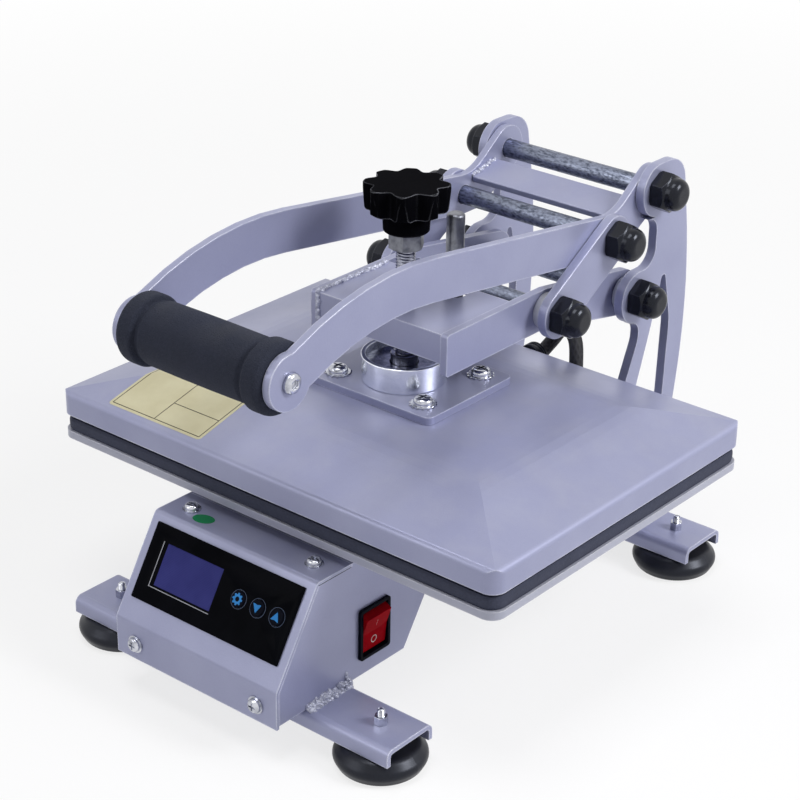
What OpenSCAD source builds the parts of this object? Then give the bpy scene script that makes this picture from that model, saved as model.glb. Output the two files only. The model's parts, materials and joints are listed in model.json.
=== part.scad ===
// Manual heat press whose upper platen swings up at the front.
// A handle turns a pair of links almost to their dead centre, and the links press
// a beam down. The beam carries the heated platen on an adjusting screw.
// Millimetres, +Z up, +Y to the back, floor at Z = 0, X = 0 on the middle plane.
// The origin lies on the floor under the middle of the whole outline.

/* [Platens] */
// width of both platens
platen_w = 334; // [280:1:380]
// depth of both platens
platen_d = 240; // [200:1:260]
// middle of the platens, front to back
platen_y = -15; // [-23:0.5:-9]
// corner radius of the platens seen from above
platen_corner = 9; // [4:0.5:16]
// height of the underside of the lower platen
table_z = 108; // [104:0.5:114]
// thickness of the lower platen
lower_t = 5; // [4:0.5:8]
// thickness of the silicone pad
pad_t = 8; // [5:0.5:12]
// thickness of the heating plate
heater_t = 14; // [10:0.5:16]
// how far the heating plate stands out below the cover
heater_proud = 2.2; // [1:0.1:4]
// height of the straight skirt of the cover
skirt_h = 14.5; // [12:0.5:20]
// rise of the cover from the skirt to the flat top
crown_rise = 12.5; // [8:0.5:16]
// run of the sloping band of the cover
crown_run = 52; // [40:1:60]
// sheet thickness of the cover
cover_t = 2; // [1.5:0.1:2.5]

/* [Platen carrier] */
// width of the mounting plate
mount_w = 96; // [80:1:104]
// depth of the mounting plate
mount_d = 80; // [70:1:90]
// thickness of the mounting plate
mount_t = 5; // [4:0.5:8]
// middle of the mounting plate behind the middle of the platen
mount_back = 9.5; // [5:0.5:14]
// half the distance between the mounting screws, side to side
mount_screw_x = 33; // [30:0.5:38]
// half the distance between the mounting screws, front to back
mount_screw_y = 27; // [25:0.5:32]
// radius of the mounting screws
mount_screw_r = 3; // [2.5:0.1:3.5]
// outer radius of the pressure cup
cup_r = 26; // [24:0.5:27]
// height of the pressure cup
cup_h = 16; // [14:0.5:18]
// wall of the pressure cup
cup_wall = 3; // [2:0.5:4]
// screw axis behind the middle of the platen
screw_back = 4.5; // [2:0.5:7]
// radius of the guide post
post_r = 5.5; // [5:0.25:6.5]
// guide post beside the middle plane
post_x = 13.5; // [12:0.5:18]
// gap between the guide post and the pressure cup
post_gap = 0.3; // [0.3:0.1:2]
// length of the guide post above the mounting plate
post_l = 99.5; // [90:0.5:103]

/* [Pressure screw] */
// radius of the pressure screw
screw_r = 6; // [5:0.25:6.5]
// length of screw between the beam and the lock nut
screw_show = 33; // [30:0.5:36]
// size across the flats of the lock nut
lock_af = 19; // [17:0.5:22]
// height of the lock nut
lock_h = 10.5; // [8:0.5:12]
// radius of the knob over its lobes
knob_r = 25.5; // [22:0.5:28]
// turn of the knob at rest, degrees
knob_turn = 34; // [0:1:45]
// number of lobes on the knob
knob_lobes = 8; // [6:1:9]
// depth of the hollows between the lobes
knob_dip = 5.5; // [4:0.25:6.5]
// height of the lobed head of the knob
knob_h = 16; // [13:0.5:20]
// radius of the round hub below the lobes
knob_hub_r = 14.4; // [12:0.2:16]
// height of the round hub
knob_hub_h = 13; // [11:0.5:15]

/* [Beam] */
// width of the beam over its walls
beam_w = 104; // [100:0.5:108]
// thickness of the beam walls
beam_wall = 5; // [4:0.5:6]
// thickness of the beam top
beam_top_t = 4; // [3:0.5:6]
// height of the beam walls at the front
beam_h = 26; // [22:0.5:30]
// height of the walls above the mounting plate
beam_clear = 24; // [20:0.5:28]
// front of the beam in front of the screw axis
beam_front = 25; // [20:0.5:30]
// top plate of the beam behind the screw axis
beam_back = 40.5; // [36:0.5:46]
// depth of the front plate of the beam
beam_apron = 19; // [15:0.5:22]

/* [Linkage] */
// handle pivot behind the origin
handle_pivot_y = 155.5; // [153:0.5:158]
// handle pivot above the link pivot on the beam
handle_pivot_up = 52; // [50:0.5:54]
// knee pivot in front of the handle pivot
knee_front = 45; // [43:0.5:47]
// knee pivot below the handle pivot
knee_down = 19.8; // [19:0.1:21]
// link pivot on the beam in front of the handle pivot
link_front = 99; // [97:0.5:101]
// beam pivot in front of the handle pivot
beam_pivot_front = 16.5; // [15:0.5:18]
// beam pivot below the link pivot
beam_pivot_down = 14.5; // [13:0.5:16]
// radius of the four cross shafts
shaft_r = 6.1; // [5.5:0.1:6.5]
// half width of the links
link_half = 15; // [13:0.5:16]
// thickness of the links and of the uprights
bar_t = 6; // [5:0.5:7]
// radius of the spacer rings
spacer_r = 11; // [9:0.5:13]
// size across the corners of the cap nuts
cap_corners = 26; // [22:0.5:28]
// height of the six-sided part of the cap nuts
cap_h = 10.5; // [8:0.5:12]
// height of the dome of the cap nuts
cap_dome = 7.5; // [5:0.5:8.5]

/* [Handle] */
// thickness of the handle arms
arm_t = 5; // [4:0.5:5.5]
// depth of the handle arms
arm_depth = 26; // [22:0.5:28]
// rise of the straight part of the arms towards the front, degrees
arm_rise = 7.7; // [6:0.1:9]
// straight part of the arms in front of the knee
arm_straight = 167; // [160:1:172]
// radius of the bent part of the arms
arm_bend_r = 193; // [180:1:205]
// angle of the bent part of the arms, degrees
arm_bend = 35.8; // [33:0.2:37]
// radius of the arm ends at the grip
arm_end_r = 16; // [14:0.5:18]
// radius of the arm ends at the handle pivot
arm_lobe_r = 15; // [13:0.5:17]
// radius of the foam grip
grip_r = 18.5; // [16:0.5:20]
// radius of the raised ends of the grip
collar_r = 20.5; // [19.5:0.5:23]
// length of the raised ends of the grip
collar_l = 13; // [10:0.5:16]
// width of the plate that joins the arms
tie_w = 25; // [20:0.5:27]
// thickness of the plate that joins the arms
tie_t = 4.5; // [3:0.5:5]

/* [Uprights] */
// rearmost point of the uprights
upright_back = 194.8; // [191:0.2:199]
// radius of the rear edge of the uprights
upright_back_r = 376; // [340:1:420]
// front of the uprights where they stand on the rail
upright_foot = 90; // [83:0.5:101]
// radius of the upright around the handle pivot
head_r = 17; // [15:0.5:18]
// radius of the upright around the beam pivot
ear_r = 17; // [16:0.5:18]
// thickness of the cross plate between the uprights
tower_t = 4; // [3:0.5:6]

/* [Base] */
// length of the rails
rail_l = 248; // [230:1:270]
// width of the rails
rail_w = 38.5; // [36:0.5:42]
// height of the rails
rail_h = 10.5; // [9:0.5:14]
// sheet thickness of the rails
rail_t = 3; // [2:0.5:3.5]
// middle of the front rail
front_rail_y = -150; // [-154:0.5:-146]
// middle of the rear rail
rear_rail_y = 143; // [139:0.5:147]
// feet beside the middle plane
foot_x = 103; // [98:0.5:106]
// largest radius of the feet
foot_r = 28; // [25:0.5:31]
// height of the feet up to the rail
foot_h = 22.5; // [20:0.5:26]
// radius of the foot studs
stud_r = 2.1; // [1.8:0.1:2.6]
// width of the spine tube
spine_w = 44; // [40:1:45]
// height of the spine tube
spine_h = 36; // [28:1:38]
// wall of the spine tube
spine_wall = 3; // [2:0.5:4]

/* [Control box] */
// width of the control box
box_w = 126; // [122:0.5:134]
// front of the control box
box_front = -191; // [-192:0.5:-187]
// back of the control box
box_back = -55; // [-61:0.5:-49]
// height of the upright lip at the front
box_lip = 21.5; // [18:0.5:24]
// run of the sloping panel, front to back
box_slope_run = 34; // [31:0.5:37]
// gap between the control box and the lower platen
box_clear = 5.5; // [4:0.5:8]
// top strip of the cover behind the bend
box_strip = 28; // [26:0.5:34]
// sheet thickness of the control box
box_t = 2; // [1.5:0.1:2.2]
// outside bend radius of the cover of the control box
box_round = 4; // [3:0.5:6]
// width of the control panel
panel_w = 114; // [110:0.5:118]
// height of the control panel
panel_h = 46; // [44:0.5:48]
// panel above the lower edge of the slope
panel_up = 14; // [13:0.5:15]
// thickness of the control panel
panel_t = 1.2; // [0.8:0.1:2]
// width of the display
display_w = 47; // [44:0.5:48]
// height of the display
display_h = 26.5; // [24:0.5:28]
// radius of the keys
key_r = 4.7; // [4:0.1:5.2]
// middle key beside the middle plane
key_x = 31.6; // [30:0.2:33]
// distance between neighbouring keys
key_pitch = 14.5; // [13:0.1:15]
// travel of the keys
key_travel = 0.6; // [0.4:0.05:0.8]
// height of the power switch frame
switch_h = 33; // [31:0.5:34]
// width of the power switch frame
switch_w = 26; // [24:0.5:28]
// middle of the power switch, front to back
switch_y = -110.5; // [-115:0.5:-107]
// rim of the switch frame beside the rocker
switch_rim = 2.2; // [1.8:0.1:3]
// tilt of the rocker, degrees
rocker_tilt = 11.5; // [8:0.5:12]

/* [Fits] */
// clearance around anything that turns or slides on a round
run_fit = 0.05; // [0.02:0.01:0.1]
// gap between faces that move past each other
move_gap = 0.4; // [0.3:0.05:0.5]
// gap between the heating plate and the pad when closed
press_gap = 0.3; // [0.3:0.05:0.5]
// gap between the heating plate and the skirt of its cover
heater_fit = 1.2; // [1:0.1:2]

/* [Hidden] */
$fn = 64;
eps = 0.01;
arc_step = 6;

// heights from the floor up
rail_top = foot_h + rail_t;
lower_top = table_z + lower_t;
pad_top = lower_top + pad_t;
heater_z = pad_top + press_gap;
heater_top = heater_z + heater_t;
skirt_z = heater_z + heater_proud;
crown_z = skirt_z + skirt_h;
cover_top = crown_z + crown_rise;
mount_top = cover_top + mount_t;
cup_floor = 4;
cup_top = mount_top + cup_h;
beam_z = mount_top + beam_clear;
beam_top = beam_z + beam_h;

// platen carrier
mount_y = platen_y + mount_back;
screw_y = platen_y + screw_back;
post_y = screw_y + sqrt(pow(cup_r + post_r + post_gap, 2) - pow(post_x, 2));
lock_z = beam_top + screw_show;
hub_z = lock_z + lock_h;
knob_z = hub_z + knob_hub_h;
knob_top = knob_z + knob_h;
rear_y = platen_y + platen_d / 2;

// pivots of the linkage, each as [y, z]
d_piv = [handle_pivot_y - link_front, beam_z + beam_h / 2];
a_piv = [handle_pivot_y, d_piv[1] + handle_pivot_up];
b_piv = [handle_pivot_y - knee_front, a_piv[1] - knee_down];
c_piv = [handle_pivot_y - beam_pivot_front, d_piv[1] - beam_pivot_down];

// layers of the linkage from the middle plane out
beam_half = beam_w / 2;
beam_in = beam_half - beam_wall;
arm_in = beam_half + 2.5 * move_gap;
arm_out = arm_in + arm_t;
bar_in = arm_out + move_gap;
bar_out = bar_in + bar_t;

// handle arms: the centre line leaves the knee straight and then bends down
arm_dir = [-cos(arm_rise), sin(arm_rise)];
arm_turn = b_piv + arm_straight * arm_dir;
arm_c = arm_turn - arm_bend_r * [sin(arm_rise), cos(arm_rise)];
grip_c = arm_c + arm_bend_r * [cos(90 - arm_rise + arm_bend), sin(90 - arm_rise + arm_bend)];
arm_up = [sin(arm_rise), cos(arm_rise)];

// control box
box_half = box_w / 2;
box_top = table_z - box_clear;
box_bend = [box_front + box_slope_run, box_top];
lip_top = [box_front, rail_top + box_lip];
slope_len = norm(box_bend - lip_top);
slope_tilt = atan2(box_bend[1] - lip_top[1], box_bend[0] - lip_top[0]);
strip_end = box_bend[0] + box_strip;
key_v = panel_up + panel_h - 21.3;
display_x = -23.5;
display_v = key_v - 1.5;
switch_z = rail_top + 27;
switch_in = switch_rim - 1.2;
rocker_half = switch_h / 2 - switch_rim - move_gap;
rocker_pin = 1.5;
inlet_y = switch_y;
inlet_z = switch_z;

// heater lead: points of its route from the platen to the control box
lead_r = 4.5;
lead_x = 8;
lead_z = skirt_z + 7;
lead_down_x = 38;
boot_l = 9;
lead_in_z = box_top - 18;
lead_floor = table_z - 34;
lead_path = [
    [lead_x, rear_y + boot_l, lead_z],
    [lead_x, rear_y + boot_l + 5, lead_z + 0.5],
    [lead_x + 4, rear_y + boot_l + 9, lead_z + 7.5],
    [lead_x + 14, rear_y + boot_l + 8, lead_z + 20],
    [lead_x + 26, rear_y + boot_l + 3, lead_z + 17],
    [lead_down_x, rear_y + 9, lead_z],
    [lead_down_x, rear_y + 9, table_z - 8],
    [lead_down_x, rear_y - 6, lead_floor + 2],
    [lead_down_x, rear_y - 40, lead_floor],
    [lead_down_x, platen_y, lead_floor + 2],
    [lead_down_x, box_back + 28, lead_in_z],
    [lead_down_x, box_back + boot_l, lead_in_z]
];

// unit vector along v
function unit(v) = v / norm(v);
// first two numbers of a point
function flat2(p) = [p[0], p[1]];
// angle folded into half a turn each way
function fold(a) = a > 180 ? a - 360 : a < -180 ? a + 360 : a;
// points of an arc
function arc(c, r, a0, a1) =
    let (n = max(2, ceil(abs(a1 - a0) / arc_step)))
    [for (i = [0:n]) c + r * [cos(a0 + (a1 - a0) * i / n), sin(a0 + (a1 - a0) * i / n)]];
// one corner p of an outline, rounded to the radius in its third number
function corner(a, p, b) =
    let (u = unit(flat2(a) - flat2(p)), v = unit(flat2(b) - flat2(p)), t = acos(max(-1, min(1, u * v))))
    p[2] < eps || t > 179 ? [flat2(p)] :
    let (reach = p[2] / tan(t / 2), c = flat2(p) + unit(u + v) * p[2] / sin(t / 2),
         s = flat2(p) + u * reach - c, e = flat2(p) + v * reach - c,
         a0 = atan2(s[1], s[0]), sweep = fold(atan2(e[1], e[0]) - a0))
    arc(c, p[2], a0, a0 + sweep);
// outline with rounded corners from points [y, z, radius]
function rounded(pts) =
    let (n = len(pts))
    [for (i = [0:n - 1]) each corner(pts[(i + n - 1) % n], pts[i], pts[(i + 1) % n])];
// outline moved inwards by t, for points that run clockwise
function inset(pts, t) =
    let (n = len(pts))
    [for (i = [0:n - 1])
        let (u = unit(pts[i] - pts[(i + n - 1) % n]), v = unit(pts[(i + 1) % n] - pts[i]),
             m = [u[1], -u[0]], k = [v[1], -v[0]])
        pts[i] + t * (m + k) / (1 + m * k)];
// rectangle with rounded corners about its middle
function rect(w, d, r) =
    rounded([[-w / 2, -d / 2, r], [w / 2, -d / 2, r], [w / 2, d / 2, r], [-w / 2, d / 2, r]]);
// bar with round ends about two points
function bar(p, rp, q, rq) =
    let (v = q - p, a = atan2(v[1], v[0]), b = acos((rp - rq) / norm(v)))
    concat(arc(p, rp, a + b, a + 360 - b), arc(q, rq, a - b, a + b));

// a [y, z] outline given thickness along X, on the side s of the middle plane
module side(x0, x1, s = 1) {
    translate([s > 0 ? x0 : -x1, 0, 0]) rotate([90, 0, 90]) linear_extrude(x1 - x0) children();
}
// an [x, z] outline given thickness along Y
module front(y0, y1) {
    translate([0, y1, 0]) rotate([90, 0, 0]) linear_extrude(y1 - y0) children();
}
// round bar along X between two distances on the side s
module rod(p, r, x0, x1, s = 1) {
    translate([s > 0 ? x0 : -x1, p[0], p[1]]) rotate([0, 90, 0]) cylinder(h = x1 - x0, r = r);
}
// upright round bar
module pole(x, y, r, z0, z1) {
    translate([x, y, z0]) cylinder(h = z1 - z0, r = r);
}
// block between two corners
module block(lo, hi) {
    translate(lo) cube(hi - lo);
}
// ring along X
module ring(p, r, bore, x0, x1, s) {
    difference() {
        rod(p, r, x0, x1, s);
        rod(p, bore, x0 - 1, x1 + 1, s);
    }
}
// children placed on the sloping panel: x across, y up the slope, z out of it
module on_slope() {
    translate([0, lip_top[0], lip_top[1]]) rotate([slope_tilt, 0, 0]) children();
}

// rails and feet
module rail(y) {
    outline = rounded([
        [y - rail_w / 2, rail_top - rail_h, 0], [y - rail_w / 2, rail_top, 5],
        [y + rail_w / 2, rail_top, 5], [y + rail_w / 2, rail_top - rail_h, 0],
        [y + rail_w / 2 - rail_t, rail_top - rail_h, 0], [y + rail_w / 2 - rail_t, rail_top - rail_t, 2],
        [y - rail_w / 2 + rail_t, rail_top - rail_t, 2], [y - rail_w / 2 + rail_t, rail_top - rail_h, 0]]);
    difference() {
        side(-rail_l / 2, rail_l / 2) polygon(outline);
        for (s = [-1, 1]) pole(s * foot_x, y, stud_r + run_fit, foot_h - 1, rail_top + 1);
    }
}
module front_rail() { color("silver") rail(front_rail_y); }
module rear_rail() { color("silver") rail(rear_rail_y); }
module at_feet() {
    for (x = [-foot_x, foot_x], y = [front_rail_y, rear_rail_y]) translate([x, y, 0]) children();
}
module rubber_feet() {
    neck = rail_w / 2 - rail_t - 3;
    skirt = rail_top - rail_h - 0.7;
    profile = rounded([
        [stud_r + run_fit, 4, 0], [foot_r - 10, 4, 0], [foot_r - 8, 0, 0], [foot_r - 4, 0, 3],
        [foot_r, 7.5, 5],
        [foot_r - 6, skirt, 6], [neck, skirt + 1, 1], [neck, foot_h, 0], [stud_r + run_fit, foot_h, 0]]);
    color("#1c1c1e") at_feet() rotate_extrude() polygon(profile);
}
module foot_bolts() {
    nut_h = 2.5 * stud_r;
    end_z = rail_top + nut_h + 4.4;
    color("lightgray") at_feet() {
        rotate_extrude() polygon([
            [0, 4], [stud_r, 4], [stud_r, end_z - 1], [stud_r - 1, end_z], [0, end_z]]);
        translate([0, 0, rail_top]) cylinder(h = nut_h, r = 1.95 * stud_r, $fn = 6);
    }
}

// spine, cross plate and uprights
module spine_tube() {
    z0 = table_z - spine_h;
    color("silver") difference() {
        front(box_back, tower_y) polygon([
            [-spine_w / 2, z0], [-spine_w / 2, table_z], [spine_w / 2, table_z], [spine_w / 2, z0]]);
        front(box_back - 1, tower_y + 1) translate([0, z0 + spine_h / 2])
            polygon(rect(spine_w - 2 * spine_wall, spine_h - 2 * spine_wall, 2));
        at_lower_screws() translate([0, 0, table_z - spine_wall - 1])
            cylinder(h = spine_wall + 2, r = 3 + run_fit);
    }
}
tower_y = rear_rail_y - rail_w / 2 + 4;
module tower_plate() {
    color("silver") front(tower_y, tower_y + tower_t) polygon(rounded([
        [-bar_in, rail_top, 0], [-bar_in, table_z - 6, 10], [bar_in, table_z - 6, 10],
        [bar_in, rail_top, 0]]));
}
// rear edge of the uprights at the height z
function upright_edge(z) =
    upright_back - upright_back_r + sqrt(pow(upright_back_r, 2) - pow(z - upright_mid, 2));
upright_mid = c_piv[1] - 21.6;
module upright(s) {
    top = a_piv[1] + head_r;
    neck_c = c_piv[0] + 3.5;
    neck_a = a_piv[0] + 0.5;
    rear_top = a_piv[1] - 29;
    slant = (neck_c - upright_foot) / (c_piv[1] - ear_r - 13 - rail_top);
    outline = concat(
        rounded([
            [upright_edge(rail_top), rail_top, 0], [upright_foot, rail_top, 0],
            [neck_c, c_piv[1] - ear_r - 13, 18], [neck_c, c_piv[1] - ear_r, 8],
            [c_piv[0] - ear_r, c_piv[1] - ear_r, ear_r - eps],
            [c_piv[0] - ear_r, c_piv[1] + ear_r, ear_r - eps],
            [neck_a, c_piv[1] + ear_r, 12], [neck_a, a_piv[1] - head_r, 10],
            [a_piv[0] - head_r, a_piv[1] - head_r, head_r - eps], [a_piv[0] - head_r, top, head_r - eps],
            [a_piv[0] + 26, top, 18], [upright_edge(rear_top), rear_top, 0]]),
        [for (i = [1:23]) let (z = rear_top + (rail_top - rear_top) * i / 24) [upright_edge(z), z]]);
    slot_low = rail_top + 42;
    slot_top = c_piv[1] + 14;
    slot = rounded([
        [a_piv[0] + 12, slot_top, 2.4], [a_piv[0] + 22, slot_top - 40, 40], [a_piv[0] + 19, slot_low, 8],
        [upright_foot + slant * (slot_low - rail_top) + 20, slot_low, 8],
        [c_piv[0] + 18, c_piv[1] - 24, 60]]);
    color("#a3a6bd") difference() {
        side(bar_in, bar_out, s) polygon(outline);
        side(bar_in - 1, bar_out + 1, s) polygon(slot);
        rod(a_piv, shaft_r + run_fit, bar_in - 1, bar_out + 1, s);
        rod(c_piv, shaft_r + run_fit, bar_in - 1, bar_out + 1, s);
    }
}
module upright_left() { upright(-1); }
module upright_right() { upright(1); }

// shafts, spacers and cap nuts that stay with the uprights
module shaft(p, half) { rod(p, shaft_r, -half, half); }
module handle_shaft() { color("lightgray") shaft(a_piv, bar_out); }
module beam_shaft() { color("lightgray") shaft(c_piv, bar_out); }
module pivot_spacers() {
    color("silver") for (s = [-1, 1])
        ring(c_piv, spacer_r, shaft_r + run_fit, beam_half + move_gap, bar_in, s);
}
module cap_nut(p, s) {
    flat_r = cap_corners / 2;
    translate([s * bar_out, p[0], p[1]]) rotate([0, s * 90, 0]) {
        intersection() {
            cylinder(h = cap_h, r = flat_r, $fn = 6);
            rotate_extrude() polygon([
                [0, 0], [flat_r - 1, 0], [flat_r, 1.5], [flat_r, cap_h - 2],
                [flat_r - 2.6, cap_h], [0, cap_h]]);
        }
        rotate_extrude() polygon(concat([[0, cap_h]], rounded([
            [flat_r - 2.6, cap_h, 0], [flat_r - 3, cap_h + cap_dome, cap_dome * 0.75],
            [0, cap_h + cap_dome, 0]])));
    }
}
module frame_caps() {
    color("#1b1b1d") for (s = [-1, 1]) {
        cap_nut(a_piv, s);
        cap_nut(c_piv, s);
    }
}

// lower platen and pad
module slab(w, d, r, z0, z1) {
    translate([0, platen_y, z0]) linear_extrude(z1 - z0) polygon(rect(w, d, r));
}
module at_lower_screws() {
    for (x = [-1, 1], y = [box_back + 22, tower_y - 40])
        translate([x * (spine_w / 2 - 10), y, 0]) children();
}
module lower_platen() {
    color("silver") difference() {
        slab(platen_w, platen_d, platen_corner, table_z, lower_top);
        at_lower_screws() translate([0, 0, table_z - 1]) cylinder(h = lower_t + 2, r = 3 + run_fit);
        at_lower_screws() translate([0, 0, lower_top - 3])
            cylinder(h = 3 + eps, r1 = 3 + run_fit, r2 = 6 + run_fit);
    }
}
module lower_screws() {
    color("gray") at_lower_screws() {
        translate([0, 0, table_z - spine_wall - 4]) cylinder(h = spine_wall + 4 + lower_t - 3, r = 3);
        translate([0, 0, lower_top - 3]) cylinder(h = 3, r1 = 3, r2 = 6);
    }
}
module silicone_pad() {
    color("#3a3b40") slab(platen_w - 2, platen_d - 2, platen_corner, lower_top, pad_top);
}

// control box
box_outline = [
    [box_front, rail_top], lip_top, box_bend, [box_back, box_top],
    [box_back, box_top - 34], [box_back - 28, rail_top]];
box_inner = inset(box_outline, box_t);
// corner of an outline with a radius
function at(p, r) = [p[0], p[1], r];
box_skin = rounded([
    [box_front + box_t, rail_top, 0], at(box_inner[1], box_round - box_t),
    at(box_inner[2], box_round - box_t),
    [strip_end, box_top - box_t, 0], [strip_end, box_top, 0],
    at(box_outline[3], 0), at(box_outline[4], 0), at(box_outline[5], 0)]);
box_room = [
    [box_front - 5, rail_top + box_t], [box_front - 5, box_top + 5], [strip_end, box_top + 5],
    [strip_end, box_top - box_t], box_inner[3], box_inner[4], box_inner[5]];
lip_z = rail_top - 2;
cover_strip = rounded([
    [box_front, lip_z, 0], at(lip_top, box_round), at(box_bend, box_round), [strip_end, box_top, 0],
    [strip_end, box_top - box_t, 0], at(box_inner[2], box_round - box_t),
    at(box_inner[1], box_round - box_t),
    [box_front + box_t, lip_z, 0]]);
cover_screw_x = 47.5;
module cover_drill(r) {
    for (s = [-1, 1]) {
        translate([s * cover_screw_x, box_bend[0] + 14, box_top - 6]) cylinder(h = 12, r = r);
        translate([s * cover_screw_x, box_front - 2, rail_top + 8.5]) rotate([-90, 0, 0])
            cylinder(h = 10, r = r);
    }
}
module box_body() {
    color("#a3a6bd") difference() {
        union() {
            difference() {
                side(-box_half, box_half) polygon(box_skin);
                side(-box_half + box_t, box_half - box_t) polygon(box_room);
            }
            block([-box_half + 1, box_front + box_t, rail_top + 1],
                  [box_half - 1, box_front + box_t + 2, rail_top + 16]);
            block([-box_half + 1, box_bend[0] + 6, box_top - box_t - 2],
                  [box_half - 1, strip_end + 6, box_top - box_t]);
        }
        cover_drill(2.2 + run_fit);
        side(box_half - box_t - 1, box_half + 1) translate([switch_y, switch_z])
            square([switch_w - 2 * switch_in, switch_h - 2 * switch_in], center = true);
        block([-box_half - 1, inlet_y - 13.5, inlet_z - 10],
            [-box_half + box_t + 1, inlet_y + 13.5, inlet_z + 10]);
        translate([lead_down_x, box_back - box_t - 1, lead_in_z]) rotate([-90, 0, 0])
            cylinder(h = box_t + 2, r = 6 + run_fit);
    }
}
module key_spots() {
    for (i = [-1, 0, 1]) translate([key_x + i * key_pitch, key_v, 0]) children();
}
module box_cover() {
    color("#a3a6bd") difference() {
        side(-box_half, box_half) polygon(cover_strip);
        cover_drill(2.2 + run_fit);
        on_slope() {
            translate([display_x, display_v, 0])
                cube([display_w + 2, display_h + 2, 3 * box_t], center = true);
            key_spots() cylinder(h = 4 * box_t, r = key_r + move_gap, center = true);
        }
    }
}
module pan_screw(r, l) {
    difference() {
        union() {
            translate([0, 0, -l]) cylinder(h = l, r = r);
            rotate_extrude() polygon(rounded([
                [0, 0, 0], [2 * r, 0, 0], [1.9 * r, 1.2 * r, 0.9 * r], [0, 1.35 * r, 0]]));
        }
        for (a = [0, 90]) rotate([0, 0, a]) translate([0, 0, 1.5 * r])
            cube([2.2 * r, 0.5 * r, 1.6 * r], center = true);
    }
}
module washer_screw() {
    cylinder(h = 0.8, r = 5.4);
    translate([0, 0, 0.8]) pan_screw(2.2, 6);
}
module cover_screws() {
    color("lightgray") for (s = [-1, 1]) {
        translate([s * cover_screw_x, box_bend[0] + 14, box_top]) washer_screw();
        translate([s * cover_screw_x, box_front, rail_top + 8.5]) rotate([90, 0, 0]) washer_screw();
    }
}
module control_panel() {
    color("#101014") on_slope() difference() {
        translate([0, panel_up + panel_h / 2, 0])
            linear_extrude(panel_t) polygon(rect(panel_w, panel_h, 0.8));
        translate([display_x, display_v, 0]) cube([display_w, display_h, 3 * panel_t], center = true);
        translate([0, 0, -panel_t]) key_spots() cylinder(h = 3 * panel_t, r = key_r + move_gap);
    }
}
board_v = -box_t - 9;
module display_window() {
    color("#3a3c70") on_slope() union() {
        translate([display_x - display_w / 2, display_v - display_h / 2, -box_t - 1])
            cube([display_w, display_h, box_t + 1 + panel_t - 0.2]);
        translate([display_x - display_w / 2 + 1, display_v - display_h / 2 + 1, board_v + 1.6])
            cube([display_w - 2, display_h - 2, 9 - 1.6]);
    }
}
module circuit_board() {
    w = panel_w - 8;
    color("#1f6b3a") on_slope() {
        translate([-w / 2, panel_up + 3, board_v]) cube([w, panel_h - 6, 1.6]);
        for (x = [-1, 1], y = [7, panel_h - 7])
            translate([x * (w / 2 - 4), panel_up + y, board_v + 1]) cylinder(h = 8, r = 2.5, $fn = 24);
        key_spots() translate([0, 0, board_v + 1]) cylinder(h = 3, r = 3, $fn = 24);
    }
}
module key_cap(i) {
    color("#26273a") on_slope() translate([key_x + i * key_pitch, key_v, 0])
        translate([0, 0, board_v + 4 + key_travel + 0.3])
            cylinder(h = -board_v - 4 + panel_t + 0.4, r = key_r);
}
module key_set() { key_cap(-1); }
module key_down() { key_cap(0); }
module key_up() { key_cap(1); }
module relay() {
    color("#222226") block([-0.32 * box_w, box_bend[0] + 6, rail_top + box_t],
        [0.03 * box_w, box_back - 38, rail_top + box_t + box_lip + 2.5]);
}

// power switch on the right wall
module switch_frame() {
    w = switch_w / 2;
    h = switch_h / 2;
    color("#161618") difference() {
        union() {
            side(box_half, box_half + 2) translate([switch_y, switch_z])
                polygon(rect(switch_w, switch_h, 2));
            block([box_half - 20, switch_y - w + switch_in, switch_z - h + switch_in],
                [box_half, switch_y + w - switch_in, switch_z + h - switch_in]);
        }
        block([box_half - 12, switch_y - w + switch_rim, switch_z - h + switch_rim],
              [box_half + 3, switch_y + w - switch_rim, switch_z + h - switch_rim]);
        front(switch_y - w, switch_y + w) translate([rocker_axis, switch_z]) circle(rocker_pin + run_fit);
    }
}
rocker_axis = box_half - 4;
module rocker() {
    h = rocker_half;
    half_y = switch_w / 2 - switch_rim - move_gap;
    color("#d02a2a") translate([rocker_axis, 0, switch_z]) rotate([0, rocker_tilt, 0]) {
        front(switch_y - half_y, switch_y + half_y) polygon([
            [-6, -h * 0.5], [0, -h], [6.5, -h + 1.9], [5.2, 0], [6.5, h - 1.9], [0, h], [-6, h * 0.5]]);
        front(switch_y - half_y - 1.2, switch_y + half_y + 1.2) circle(rocker_pin);
    }
}
module power_inlet() {
    color("#161618") difference() {
        union() {
            side(box_half, box_half + 2.5, -1) translate([inlet_y, inlet_z]) polygon(rect(34, 26, 3));
            block([-box_half, inlet_y - 13.5, inlet_z - 10],
                [-box_half + 18, inlet_y + 13.5, inlet_z + 10]);
        }
        side(box_half - 14, box_half + 3, -1) translate([inlet_y, inlet_z]) difference() {
            polygon([[-12, -8], [12, -8], [12, 4], [8, 8], [-8, 8], [-12, 4]]);
            for (p = [[-7, -2], [0, 2], [7, -2]]) translate(p) square([2, 4], center = true);
        }
        block([-box_half - 3, inlet_y - 12, inlet_z - 8], [-box_half, inlet_y + 12, inlet_z + 4]);
    }
}

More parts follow.
